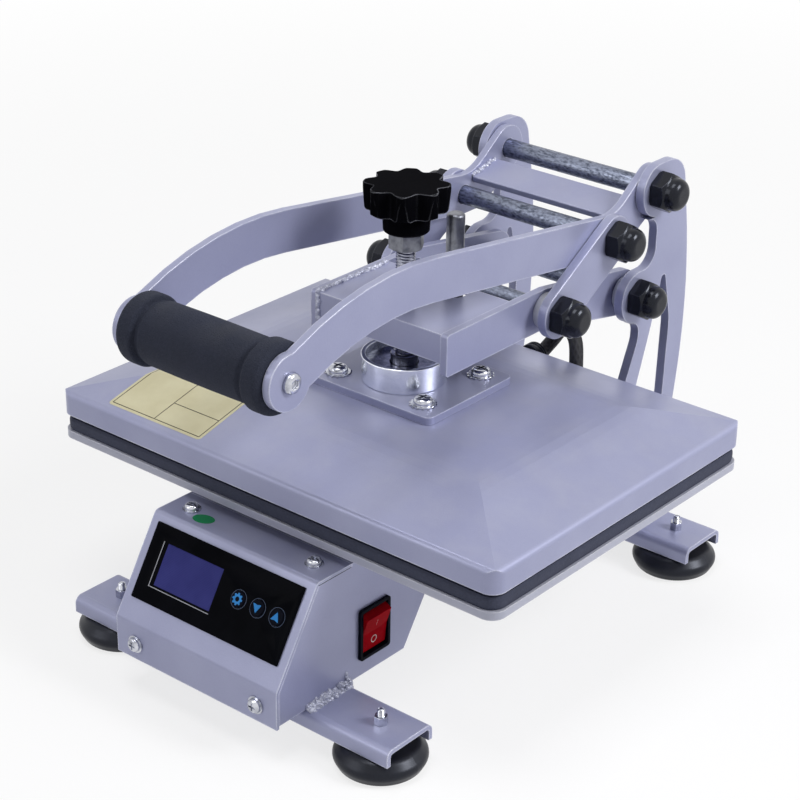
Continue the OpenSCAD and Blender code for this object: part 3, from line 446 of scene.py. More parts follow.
@dataclass(frozen=True)
class MouldedFinish(Finish):
    """Plastic, rubber or foam from a mould."""

    cell: float
    roughness: float = 0.2
    spread: float = 0.06
    coarse: float = 55.0
    relief: float = 0.02
    depth: float = 0.0002
    gloss: float = 0.3
    sheen: Colour = screen(232, 238, 255)
    dust: Colour = screen(150, 148, 146)
    dusty: float = 0.0
    wear_and_highlight_width: float = 0.0
    # colour of the painted highlight on the rims
    bright: Colour = screen(92, 96, 112)

    def inputs(self, sketch: Sketch, effects: Effects) -> dict:
        """Lays out the mould's grain or the foam's cells, with lighter edges as a painted highlight on the
        rims.

        Args:
            sketch: Sketch of the material.
            effects: The shared shader groups.

        Returns:
            Values and sockets for the shader.
        """
        cells = sketch.group(effects.cells, {"Scale": self.cell})
        grain = sketch.group(effects.grain, {"Coarse": self.coarse})["Tone"]
        dust = sketch.group(effects.dust, {"Amount": self.dusty})
        colour = sketch.mix(dust["Mask"], self.flecked(sketch, grain, cells["Tone"], 0.6), self.dust)
        # rims lightened as a painted highlight
        if self.wear_and_highlight_width:
            wear_and_highlight = sketch.group(effects.wear_and_highlight, {"Width": self.wear_and_highlight_width})
            colour = sketch.mix(wear_and_highlight["Mask"], colour, self.bright)
        return {"Base Color": colour, "Roughness": sketch.around(grain, self.roughness, self.spread),
                "Specular IOR Level": self.gloss, "Specular Tint": self.sheen,
                "Normal": sketch.bump(cells["Height"], self.relief, self.depth)}


@dataclass(frozen=True)
class FilmFinish(Finish):
    """Printed film, glass or label: an even colour with small stains."""

    roughness: float = 0.35
    gloss: float = 0.1
    rows: float = 0.0
    coarse: float = 60.0

    def inputs(self, sketch: Sketch, effects: Effects) -> dict:
        """Lays out the film, with fine rows where it is a display.

        Args:
            sketch: Sketch of the material.
            effects: The shared shader groups.

        Returns:
            Values and sockets for the shader.
        """
        grain = sketch.group(effects.grain, {"Coarse": self.coarse})["Tone"]
        share = sketch.span(grain, 0.0, 1.0, at=(0.35, 0.65))
        if self.rows:
            feeds = {"Vector": sketch.spot(), "Scale": self.rows}
            wave = sketch.add("ShaderNodeTexWave", feeds, bands_direction="Z").outputs["Fac"]
            share = sketch.calc("ADD", sketch.calc("MULTIPLY", share, 0.5), sketch.span(wave, 0.0, 0.5))
        rough = sketch.span(grain, self.roughness * 0.8, self.roughness * 1.3, NOISE_RANGE)
        return {"Base Color": sketch.mix(share, self.tone, self.shade), "Roughness": rough,
                "Specular IOR Level": self.gloss}


@dataclass(frozen=True)
class BraidFinish(Finish):
    """Braided sleeve of a heater lead, laid by the piece's own UV map."""

    strands: float = 9.0
    pitch: float = 0.012
    roughness: float = 0.6
    spread: float = 0.1
    relief: float = 0.5
    depth: float = 0.0004

    def inputs(self, sketch: Sketch, effects: Effects) -> dict:
        """Lays out two sets of strands that cross.

        Args:
            sketch: Sketch of the material.
            effects: The shared shader groups.

        Returns:
            Values and sockets for the shader.
        """
        grain = sketch.group(effects.grain, {})["Tone"]
        spot = sketch.add("ShaderNodeUVMap", uv_map="UVMap").outputs["UV"]
        parts = sketch.add("ShaderNodeSeparateXYZ", {0: spot}).outputs
        turn = sketch.calc("MULTIPLY", parts["X"], self.strands)
        run = sketch.calc("DIVIDE", parts["Y"], self.pitch / 2)
        waves = []
        for operation in ("ADD", "SUBTRACT"):
            phase = sketch.calc("MULTIPLY", sketch.calc(operation, run, turn), FULL_TURN)
            waves.append(sketch.span(sketch.calc("SINE", phase, 0.0), 0.0, 1.0, at=(-1.0, 1.0)))
        weave = sketch.calc("MAXIMUM", waves[0], waves[1])
        return {"Base Color": sketch.mix(weave, self.shade, self.tone),
                "Roughness": sketch.around(grain, self.roughness, self.spread),
                "Normal": sketch.bump(weave, self.relief, self.depth)}


FINISHES: tuple[Finish, ...] = (
    # The third colour of each paint lightens its edges: partly wear, partly painted highlight.
    PaintFinish("lilac_paint", screen(157, 160, 189), screen(147, 150, 180), screen(226, 228, 240)),
    # Weld paint: its bright flecks and edges are painted glints, its dark flecks painted shade.
    PaintFinish("weld_glint_paint", screen(206, 209, 226), screen(108, 111, 137), screen(236, 238, 246),
                roughness=0.36, coarse=420.0, peel=900.0, relief=0.5, wear_and_highlight_width=0.0006, dusty=0.0),
    PaintFinish("table_paint", screen(172, 174, 190), screen(162, 164, 180), screen(206, 207, 214),
                metallic=0.1),
    PaintFinish("spacer_paint", screen(206, 208, 212), screen(188, 190, 196), screen(228, 229, 234),
                metallic=0.1),
    MetalFinish("drawn_zinc", screen(134, 140, 158), screen(72, 77, 91),
                roughness=0.39, spread=0.2, scale=90.0, along=Along.X),
    MetalFinish("bright_zinc", screen(206, 208, 216), screen(150, 152, 162), roughness=0.16, spread=0.08),
    MetalFinish("cup_zinc", screen(238, 241, 248), screen(224, 227, 236), roughness=0.22, spread=0.06),
    MetalFinish("dull_nickel", screen(128, 130, 138), screen(92, 94, 102), roughness=0.34, spread=0.1),
    MetalFinish("turned_steel", screen(176, 178, 190), screen(124, 126, 142),
                roughness=0.21, spread=0.1, scale=30.0, along=Along.Z),
    # The caps' lighter hex edges are a painted highlight.
    MouldedFinish("black_plastic", screen(13, 14, 19), screen(20, 21, 27),
                  cell=1700.0, relief=0.03, gloss=0.28, dusty=0.02, wear_and_highlight_width=0.0008),
    # The knob has almost no gloss of its own; its light rim is a painted highlight.
    MouldedFinish("knob_gloss", screen(8, 8, 11), screen(12, 12, 16),
                  cell=900.0, gloss=0.001, wear_and_highlight_width=0.0011, bright=screen(150, 152, 160)),
    MouldedFinish("red_plastic", screen(172, 9, 24), screen(148, 8, 21), cell=900.0, gloss=0.004),
    MouldedFinish("key_plastic", screen(12, 14, 22), screen(17, 19, 29),
                  cell=2200.0, roughness=0.36, relief=0.04, gloss=0.02),
    MouldedFinish("rubber", screen(17, 18, 24), screen(26, 27, 34),
                  cell=1300.0, roughness=0.36, relief=0.05, dusty=0.04),
    MouldedFinish("foam", screen(33, 36, 47), screen(47, 50, 63),
                  cell=1500.0, roughness=0.85, relief=0.55, depth=0.0006, gloss=0.25, dusty=0.04),
    MouldedFinish("silicone", screen(54, 57, 72), screen(66, 69, 85),
                  cell=1100.0, roughness=0.7, relief=0.3, depth=0.0004, gloss=0.2, dusty=0.02),
    MouldedFinish("coated_aluminium", screen(38, 39, 46), screen(50, 51, 59),
                  cell=2000.0, roughness=0.45, relief=0.12, depth=0.0003),
    MouldedFinish("insulation", screen(214, 206, 188), screen(188, 178, 156),
                  cell=500.0, roughness=0.9, relief=0.6, depth=0.001, gloss=0.2),
    FilmFinish("panel_film", screen(8, 9, 13), screen(12, 13, 18), roughness=0.2, gloss=0.01),
    FilmFinish("display_glass", screen(66, 68, 136), screen(55, 57, 120),
               roughness=0.2, gloss=0.02, rows=420.0),
    FilmFinish("silver_line", screen(188, 190, 198), screen(170, 172, 182), gloss=0.3),
    FilmFinish("blue_print", screen(62, 146, 220), screen(52, 134, 208)),
    FilmFinish("ring_print", screen(92, 104, 128), screen(80, 92, 116)),
    FilmFinish("white_print", screen(226, 220, 218), screen(212, 206, 204)),
    FilmFinish("cream_label", screen(212, 206, 173), screen(204, 197, 163), roughness=0.42, gloss=0.3),
    FilmFinish("dark_print", screen(52, 48, 46), screen(64, 59, 56), roughness=0.45),
    FilmFinish("green_label", screen(18, 132, 80), screen(15, 120, 72), gloss=0.2),
    FilmFinish("seam_shade", screen(58, 60, 78), screen(70, 72, 92), roughness=0.6),
    FilmFinish("board", screen(26, 92, 56), screen(20, 78, 48), roughness=0.4, gloss=0.3, rows=260.0),
    BraidFinish("lead_braid", screen(40, 40, 46), screen(14, 14, 17)),
)


def put(name: str, data: bpy.types.ID) -> bpy.types.Object:
    """Puts a new object into the scene.

    Args:
        name: Name of the object.
        data: Its mesh, light or camera.

    Returns:
        The object, at the origin.
    """
    thing = bpy.data.objects.new(name, data)
    bpy.context.scene.collection.objects.link(thing)
    return thing


class Trees:
    """Geometry trees for what repeats or follows a line."""

    def __init__(self) -> None:
        """Builds each tree once."""
        self.beads = self._beads()
        self.teeth = self._teeth()
        self.thread = self._thread()
        self.ribs = self._ribs()

    @staticmethod
    def _open(name: str, inputs: dict[str, str]) -> tuple:
        """Starts a tree with named inputs and a material.

        Args:
            name: Name of the tree.
            inputs: Socket kind of each input.

        Returns:
            The sketch, the sockets that come in and the node that ends the tree.
        """
        tree = bpy.data.node_groups.new(name, "GeometryNodeTree")
        tree.interface.new_socket("Geometry", in_out="OUTPUT", socket_type="NodeSocketGeometry")
        for label, kind in {**inputs, "Material": "Material"}.items():
            tree.interface.new_socket(label, in_out="INPUT", socket_type="NodeSocket" + kind)
        sketch = Sketch(tree)
        return sketch, sketch.add("NodeGroupInput").outputs, sketch.add("NodeGroupOutput")

    @staticmethod
    def _close(sketch: Sketch, shape: Socket, material: Socket, leave: bpy.types.Node) -> Tree:
        """Ends a tree in real, smooth, dressed faces.

        Args:
            sketch: Sketch of the tree.
            shape: Faces so far, as instances or as a mesh.
            material: Material that comes in.
            leave: Node that ends the tree.

        Returns:
            The finished tree.
        """
        real = sketch.first("GeometryNodeRealizeInstances", {"Geometry": shape})
        smooth = sketch.first("GeometryNodeSetShadeSmooth", {"Geometry": real})
        dressed = sketch.first("GeometryNodeSetMaterial", {"Geometry": smooth, "Material": material})
        sketch.feed(leave, {"Geometry": dressed})
        return sketch.tree

    def _beads(self) -> Tree:
        """Builds a row of uneven beads, as a weld leaves.

        Returns:
            The tree.
        """
        sketch, enter, leave = self._open("Weld beads", {
            "Start": "Vector", "Step": "Vector", "Count": "Int", "Bead": "Float", "Stray": "Float",
            "Seed": "Int"})
        row = {"Count": enter["Count"], "Start Location": enter["Start"], "Offset": enter["Step"]}
        line = sketch.first("GeometryNodeMeshLine", row)
        ways = {0: (-1.0, -1.0, -1.0), 1: (1.0, 1.0, 1.0), "Seed": enter["Seed"]}
        way = sketch.first("FunctionNodeRandomValue", ways, data_type="FLOAT_VECTOR")
        stray = sketch.first("ShaderNodeVectorMath", {0: way, 3: enter["Stray"]}, operation="SCALE")
        uneven = sketch.first("GeometryNodeSetPosition", {"Geometry": line, "Offset": stray})
        drop = sketch.first("GeometryNodeMeshIcoSphere", {"Radius": enter["Bead"], "Subdivisions": 3})
        sizes = {0: (0.7, 0.7, 0.7), 1: (1.25, 1.25, 1.25), "Seed": enter["Seed"]}
        scale = sketch.first("FunctionNodeRandomValue", sizes, data_type="FLOAT_VECTOR")
        place = {"Points": uneven, "Instance": drop, "Scale": scale}
        drops = sketch.first("GeometryNodeInstanceOnPoints", place)
        return self._close(sketch, drops, enter["Material"], leave)

    def _teeth(self) -> Tree:
        """Builds a ring of twisted teeth, as on a lock washer.

        Returns:
            The tree.
        """
        sketch, enter, leave = self._open("Washer teeth", {
            "Centre": "Vector", "Radius": "Float", "Count": "Int", "Tooth": "Vector", "Twist": "Float"})
        around = {"Vertices": enter["Count"], "Radius": enter["Radius"]}
        ring = sketch.first("GeometryNodeMeshCircle", around)
        block = sketch.first("GeometryNodeMeshCube", {"Size": enter["Tooth"]})
        angles = sketch.first("ShaderNodeCombineXYZ", {0: enter["Twist"]})
        twist = sketch.first("FunctionNodeEulerToRotation", {0: angles})
        tooth = sketch.first("GeometryNodeTransform", {"Geometry": block, "Rotation": twist})
        spot = sketch.first("GeometryNodeInputPosition")
        turn = sketch.first("FunctionNodeAlignRotationToVector", {"Vector": spot}, axis="X")
        place = {"Points": ring, "Instance": tooth, "Rotation": turn}
        teeth = sketch.first("GeometryNodeInstanceOnPoints", place)
        moved = sketch.first("GeometryNodeTransform", {"Geometry": teeth, "Translation": enter["Centre"]})
        return self._close(sketch, moved, enter["Material"], leave)

    def _thread(self) -> Tree:
        """Builds the ridge of a screw thread that winds up along Z.

        Returns:
            The tree.
        """
        sketch, enter, leave = self._open("Screw thread", {
            "Foot": "Vector", "Turns": "Float", "Height": "Float", "Radius": "Float", "Ridge": "Float"})
        coil = sketch.first("GeometryNodeCurveSpiral", {
            "Resolution": 24, "Rotations": enter["Turns"], "Start Radius": enter["Radius"],
            "End Radius": enter["Radius"], "Height": enter["Height"]})
        upright = sketch.first("GeometryNodeSetCurveNormal", {"Curve": coil}, mode="Z_UP")
        section = {"Resolution": 4, "Radius": enter["Ridge"]}
        profile = sketch.first("GeometryNodeCurvePrimitiveCircle", section)
        path = {"Curve": upright, "Profile Curve": profile, "Fill Caps": True}
        ridge = sketch.first("GeometryNodeCurveToMesh", path)
        moved = sketch.first("GeometryNodeTransform", {"Geometry": ridge, "Translation": enter["Foot"]})
        return self._close(sketch, moved, enter["Material"], leave)

    def _ribs(self) -> Tree:
        """Builds a row of rings across Y, as on a strain relief.

        Returns:
            The tree.
        """
        sketch, enter, leave = self._open("Boot ribs", {
            "Start": "Vector", "Step": "Vector", "Count": "Int", "Radius": "Float", "Rib": "Float"})
        row = {"Count": enter["Count"], "Start Location": enter["Start"], "Offset": enter["Step"]}
        line = sketch.first("GeometryNodeMeshLine", row)
        around = {"Resolution": 40, "Radius": enter["Radius"]}
        loop = sketch.first("GeometryNodeCurvePrimitiveCircle", around)
        section = {"Resolution": 8, "Radius": enter["Rib"]}
        profile = sketch.first("GeometryNodeCurvePrimitiveCircle", section)
        ring = sketch.first("GeometryNodeCurveToMesh", {"Curve": loop, "Profile Curve": profile})
        tilt = {"Geometry": ring, "Rotation": (math.pi / 2, 0.0, 0.0)}
        stood = sketch.first("GeometryNodeTransform", tilt)
        rings = sketch.first("GeometryNodeInstanceOnPoints", {"Points": line, "Instance": stood})
        return self._close(sketch, rings, enter["Material"], leave)

    @staticmethod
    def run(tree: Tree, values: dict[str, object]) -> Mesh:
        """Makes a plain mesh from a tree.

        Args:
            tree: One of the trees above.
            values: Value of each named input.

        Returns:
            The mesh that the tree gives.
        """
        holder = put("holder", bpy.data.meshes.new("holder"))
        modifier = holder.modifiers.new("tree", "NODES")
        modifier.node_group = tree
        for item in tree.interface.items_tree:
            if item.item_type == "SOCKET" and item.in_out == "INPUT":
                modifier[item.identifier] = values[item.name]
        graph = bpy.context.evaluated_depsgraph_get()
        mesh = bpy.data.meshes.new_from_object(holder.evaluated_get(graph))
        holder.modifiers.remove(modifier)
        bpy.data.objects.remove(holder)
        return mesh


def close_mesh(shape: bmesh.types.BMesh, name: str, sharp: float = SHARP_EDGE) -> Mesh:
    """Ends a mesh: doubles merged, faces outward, smooth but for sharp edges.

    Args:
        shape: The faces so far; it is freed here.
        name: Name of the mesh.
        sharp: Angle in degrees from which an edge stays sharp.

    Returns:
        The finished mesh.
    """
    bmesh.ops.remove_doubles(shape, verts=shape.verts, dist=1e-6)
    bmesh.ops.recalc_face_normals(shape, faces=shape.faces)
    for face in shape.faces:
        face.smooth = True
    for edge in shape.edges:
        edge.smooth = edge.calc_face_angle(0.0) < math.radians(sharp)
    mesh = bpy.data.meshes.new(name)
    shape.to_mesh(mesh)
    shape.free()
    return mesh


def merged(name: str, meshes: Iterable[Mesh], sharp: float = SHARP_EDGE) -> Mesh:
    """Makes one mesh of several, whose shells stay apart.

    Args:
        name: Name of the new mesh.
        meshes: The meshes.
        sharp: Angle in degrees from which an edge stays sharp.

    Returns:
        The finished mesh.
    """
    shape = bmesh.new()
    for mesh in meshes:
        shape.from_mesh(mesh)
    return close_mesh(shape, name, sharp)


def wall(shape: bmesh.types.BMesh, first: Sequence, second: Sequence) -> None:
    """Adds the faces between two closed rings of vertices.

    Args:
        shape: The mesh in hand.
        first: Vertices of one ring.
        second: As many vertices of the other ring.
    """
    for i in range(len(first)):
        j = (i + 1) % len(first)
        shape.faces.new((first[i], first[j], second[j], second[i]))


def lathe(name: str, profile: Sequence[Spot], foot: Vector, axis: Vector, sides: int) -> Mesh:
    """Turns a closed profile about an axis.

    Args:
        name: Name of the mesh.
        profile: Points as (distance along the axis, radius), in order round the section.
        foot: Point of the axis from which the distances run.
        axis: Direction of the axis.
        sides: Number of steps round the axis.

    Returns:
        The turned mesh.
    """
    shape = bmesh.new()
    across = axis.orthogonal().normalized()
    other = axis.cross(across).normalized()
    rings = []
    for step in range(sides):
        angle = FULL_TURN * step / sides
        out = across * math.cos(angle) + other * math.sin(angle)
        rings.append([shape.verts.new(foot + axis * along + out * radius) for along, radius in profile])
    for step in range(sides):
        wall(shape, rings[step], rings[(step + 1) % sides])
    return close_mesh(shape, name)


def round_corners(points: Sequence[Point], steps: int = 6) -> list[Spot]:
    """Rounds the corners of an outline.

    Args:
        points: Corners as (u, v, radius) in order round the outline.
        steps: Number of steps in each arc.

    Returns:
        The points of the rounded outline.
    """
    straight = math.radians(89)
    outline: list[Spot] = []
    for i, (u, v, radius) in enumerate(points):
        corner = Vector((u, v))
        back = (Vector(points[i - 1][:2]) - corner).normalized()
        ahead = (Vector(points[(i + 1) % len(points)][:2]) - corner).normalized()
        half = back.angle(ahead) / 2
        if radius <= 0 or half > straight:
            outline.append((u, v))
            continue
        reach = radius / math.tan(half)
        centre = corner + (back + ahead).normalized() * (radius / math.sin(half))
        start = corner + back * reach - centre
        sweep = math.pi - 2 * half
        if start.x * ahead.y - start.y * ahead.x < 0:
            sweep = -sweep
        for step in range(steps + 1):
            turned = Matrix.Rotation(sweep * step / steps, 2) @ start
            outline.append((centre.x + turned.x, centre.y + turned.y))
    return outline


def smooth_path(points: Sequence[Vector], cuts: int) -> list[Vector]:
    """Draws a smooth curve through points.

    Args:
        points: The points that the curve passes.
        cuts: Number of steps between one and the next.

    Returns:
        The points of the curve.
    """
    ends = [points[0] * 2 - points[1], *points, points[-1] * 2 - points[-2]]
    path: list[Vector] = []
    for i in range(1, len(ends) - 2):
        a, b, c, d = ends[i - 1:i + 3]
        for cut in range(cuts):
            t = cut / cuts
            path.append(0.5 * (2 * b + (c - a) * t + (2 * a - 5 * b + 4 * c - d) * t ** 2
                               + (3 * b - a - 3 * c + d) * t ** 3))
    return [*path, points[-1].copy()]


def tube(name: str, path: Sequence[Vector], radius: float, sides: int) -> Mesh:
    """Makes a closed round tube, with a UV map in turns and metres.

    Args:
        name: Name of the mesh.
        path: Points of its middle line.
        radius: Radius of the tube.
        sides: Number of steps round it.

    Returns:
        The finished mesh.
    """
    shape = bmesh.new()
    layer = shape.loops.layers.uv.new("UVMap")
    across = (path[1] - path[0]).orthogonal().normalized()
    rings, run = [], [0.0]
    for i, spot in enumerate(path):
        ahead = (path[min(i + 1, len(path) - 1)] - path[max(i - 1, 0)]).normalized()
        across = (across - ahead * across.dot(ahead)).normalized()
        other = ahead.cross(across)
        angles = [FULL_TURN * k / sides for k in range(sides)]
        ways = [across * math.cos(angle) + other * math.sin(angle) for angle in angles]
        rings.append([shape.verts.new(spot + radius * way) for way in ways])
        run.append(run[-1] + ((path[i + 1] - spot).length if i + 1 < len(path) else 0.0))
    for i in range(len(path) - 1):
        for k in range(sides):
            j = (k + 1) % sides
            face = shape.faces.new((rings[i][k], rings[i][j], rings[i + 1][j], rings[i + 1][k]))
            marks = ((k, run[i]), (k + 1, run[i]), (k + 1, run[i + 1]), (k, run[i + 1]))
            for loop, (turn, length) in zip(face.loops, marks):
                loop[layer].uv = (turn / sides, length)
    shape.faces.new(list(reversed(rings[0])))
    shape.faces.new(rings[-1])
    return close_mesh(shape, name)


def circle(radius: float, steps: int = 48) -> list[Spot]:
    """Points of a circle about the middle."""
    angles = [FULL_TURN * i / steps for i in range(steps)]
    return [(radius * math.cos(angle), radius * math.sin(angle)) for angle in angles]


def rectangle(width: float, height: float, radius: float = 0.0) -> list[Spot]:
    """Rectangle about the middle, with round corners where a radius is given."""
    u, v = width / 2, height / 2
    return round_corners([(-u, -v, radius), (u, -v, radius), (u, v, radius), (-u, v, radius)])


@dataclass(frozen=True)
class Plane:
    """Flat place on the press on which a sign or a label is laid."""

    centre: Vector
    across: Vector
    up: Vector

    @property
    def out(self) -> Vector:
        """Direction out of the surface."""
        return self.across.cross(self.up)

    def at(self, u: float, v: float, w: float) -> Vector:
        """Point at (u, v) on the plane and w above it."""
        return self.centre + self.across * u + self.up * v + self.out * w

    def moved(self, spot: Vector) -> Plane:
        """The same plane with another centre."""
        return Plane(spot, self.across, self.up)

    def slab(self, name: str, outline: Sequence[Spot], top: float, depth: float,
             inner: Sequence[Spot] = ()) -> Mesh:
        """Makes a thin solid on the plane.

        Args:
            name: Name of the mesh.
            outline: Outer outline as (u, v), in metres.
            top: Height of its face above the plane, in millimetres.
            depth: How far it reaches below the plane, in millimetres.
            inner: Outline of a hole, with as many points as the outer one.

        Returns:
            The closed mesh.
        """
        shape = bmesh.new()
        loops = [[[shape.verts.new(self.at(u, v, w * MM)) for u, v in line] for w in (top, -depth)]
                 for line in (outline, inner) if line]
        for high, low in loops:
            wall(shape, high, low)
        if inner:
            for ring, hole in zip(*loops):
                wall(shape, ring, hole)
        else:
            for line in loops[0]:
                shape.faces.new(line)
        return close_mesh(shape, name)


@dataclass(frozen=True)
class Coat:
    """Finish of some nodes, and the width of their rounded edges in millimetres, or 0 for none."""

    finish: str
    edge: float
    nodes: tuple[str, ...]


@dataclass
class Shop:
    """What each sub-assembly is built with: the frame, the finishes and the trees."""

    frame: dict
    finishes: dict[str, bpy.types.Material]
    trees: Trees
    weld_step: float = 0.6
    edge_angle: float = 38.0
    edge_steps: int = 2
    flat_angle: float = 0.6
    weld_gap: float = 2e-6

    def dress(self, coat: Coat) -> None:
        """Gives CAD nodes their finish and rounds their edges.

        Args:
            coat: The finish, the edges and the nodes.
        """
        for name in coat.nodes:
            node = self.frame["nodes"][name]
            self.cover(node, coat.finish)
            if coat.edge:
                self.soften(node, coat.edge * MM)
            LOG.info("node %s: %s", name, coat.finish)

    def cover(self, thing: bpy.types.Object, finish: str) -> None:
        """Puts one finish on every slot of an object.

        Args:
            thing: The object.
            finish: Name of the finish.
        """
        if not thing.material_slots:
            thing.data.materials.append(None)
        for slot in thing.material_slots:
            slot.material = self.finishes[finish]

    def soften(self, node: bpy.types.Object, width: float) -> None:
        """Rounds the hard edges of a node.

        Args:
            node: The node's object.
            width: Width of the rounded edges.
        """
        weld = node.modifiers.new("weld", "WELD")
        weld.merge_threshold = self.weld_gap
        plain = node.modifiers.new("plain", "DECIMATE")
        plain.decimate_type = "DISSOLVE"
        plain.angle_limit = math.radians(self.flat_angle)
        bevel = node.modifiers.new("edges", "BEVEL")
        bevel.width = width
        bevel.segments = self.edge_steps
        bevel.limit_method = "ANGLE"
        bevel.angle_limit = math.radians(self.edge_angle)
        bevel.use_clamp_overlap = True
        bevel.harden_normals = True

    def place(self, mesh: Mesh, finish: str, body: str, slot: str, *nodes: str) -> bpy.types.Object:
        """Adds a piece to the press.

        Args:
            mesh: Its finished mesh, in place.
            finish: Name of its finish.
            body: Body on which it rides.
            slot: Slot of the record for the piece; not used.
            nodes: CAD nodes for which it stands.

        Returns:
            The new object.
        """
        piece = put(mesh.name, mesh)
        self.cover(piece, finish)
        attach(piece, body)
        if nodes:
            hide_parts(*nodes)
        LOG.info("piece %s on %s: %s", piece.name, body, finish)
        return piece

    def weld(self, start: Vector, end: Vector, bead: float, stray: float, seed: int) -> Mesh:
        """Makes a row of overlapping weld beads.

        Args:
            start: Where the row begins.
            end: Where it ends.
            bead: Radius of a bead in millimetres.
            stray: How far a bead may lie off the line, in millimetres.
            seed: Seed of the row's unevenness.

        Returns:
            The mesh of the row.
        """
        line = end - start
        count = max(2, int(line.length / (self.weld_step * bead * MM)) + 1)
        return self.trees.run(self.trees.beads, {
            "Start": start, "Step": line / (count - 1), "Count": count, "Bead": bead * MM,
            "Stray": stray * MM, "Seed": seed, "Material": self.finishes["weld_glint_paint"]})

    def top_face(self, name: str, out: Vector) -> list[Vector]:
        """Finds the outermost flat face of a node in a direction.

        Args:
            name: The node.
            out: Direction out of the face.

        Returns:
            The corners of that face.
        """
        spots = [vertex.co for vertex in self.frame["nodes"][name].data.vertices]
        reach = max(spot.dot(out) for spot in spots)
        return [spot for spot in spots if reach - spot.dot(out) < FLAT_WITHIN]

    def top_plane(self, name: str, out: Vector, across: Vector) -> Plane:
        """Lays a plane on the outermost flat face of a node.

        Args:
            name: The node.
            out: Direction out of the face.
            across: Direction to the right along the face.

        Returns:
            A plane at the middle of that face.
        """
        face = self.top_face(name, out)
        low = Vector([min(spot[i] for spot in face) for i in range(3)])
        high = Vector([max(spot[i] for spot in face) for i in range(3)])
        return Plane((low + high) / 2, across, out.cross(across).normalized())

    def skin(self, name: str) -> BVHTree:
        """Surface of a node, for what is laid on it."""
        mesh = self.frame["nodes"][name].data
        return BVHTree.FromPolygons([v.co for v in mesh.vertices], [list(p.vertices) for p in mesh.polygons])


@dataclass
class SubAssembly:
    """Part of the press that is dressed by itself; its sizes are in millimetres."""

    shop: Shop
    coats: tuple[Coat, ...] = ()

    def build(self) -> None:
        """Dresses the nodes and adds the pieces that only the looks need."""
        LOG.info("sub-assembly %s", type(self).__name__)
        for coat in self.coats:
            self.shop.dress(coat)
        self.add_pieces()

    def add_pieces(self) -> None:
        """Adds the pieces; a sub-assembly without any leaves this as it is."""


@dataclass
class BaseFrame(SubAssembly):
    """Rails, feet, uprights and the shafts between them."""

    coats: tuple[Coat, ...] = (
        Coat("lilac_paint", 0.7, ("front_rail", "rear_rail", "spine_tube", "tower_plate")),
        Coat("lilac_paint", 0.9, ("upright_left", "upright_right")),
        Coat("drawn_zinc", 0.4, ("handle_shaft", "beam_shaft")),
        Coat("spacer_paint", 0.4, ("pivot_spacers",)),
        Coat("bright_zinc", 0.3, ("foot_bolts",)),
        Coat("black_plastic", 0.6, ("frame_caps",)),
        Coat("rubber", 0.0, ("rubber_feet",)))
    foot_x: float = 103.0
    rail_lines: Spot = (-150.0, 143.0)
    stud_core: float = 2.0
    stud_pitch: float = 0.7
    stud_ridge: float = 0.3
    stud_end: float = 3.4
    stud_tip: float = 0.8
    bead: float = 1.5
    bead_stray: float = 0.3
    bead_seed: int = 3
    weld_inset: float = 5.0

    def add_pieces(self) -> None:
        """Adds threads and welds."""
        self.stud_threads()
        self.welds()

    def stud_threads(self) -> None:
        """Cuts threads on the ends of the four studs that stand above their nuts."""
        reach = self.stud_end * MM
        foot_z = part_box("foot_bolts")[1].z - self.stud_tip * MM - reach
        coils = []
        for x in (-self.foot_x, self.foot_x):
            for y in self.rail_lines:
                coils.append(self.shop.trees.run(self.shop.trees.thread, {
                    "Foot": (x * MM, y * MM, foot_z), "Height": reach,
                    "Turns": self.stud_end / self.stud_pitch, "Radius": self.stud_core * MM,
                    "Ridge": self.stud_ridge * MM, "Material": self.shop.finishes["bright_zinc"]}))
        self.shop.place(merged("stud_threads", coils, SHARP_THREAD), "bright_zinc", "base", "zinc")

    def welds(self) -> None:
        """Lays weld beads where the uprights stand on the rear rail."""
        rail_low, rail_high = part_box("rear_rail")
        rows = []
        for side in Side:
            low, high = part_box("upright_left" if side is Side.LEFT else "upright_right")
            seed = self.bead_seed + side.value
            for x in (low.x, high.x):
                start = Vector((x, rail_low.y + self.weld_inset * MM, rail_high.z))
                end = Vector((x, rail_high.y - self.weld_inset * MM, rail_high.z))
                rows.append(self.shop.weld(start, end, self.bead, self.bead_stray, seed))
        self.shop.place(merged("tower_welds", rows), "weld_glint_paint", "base", "lilac_paint")


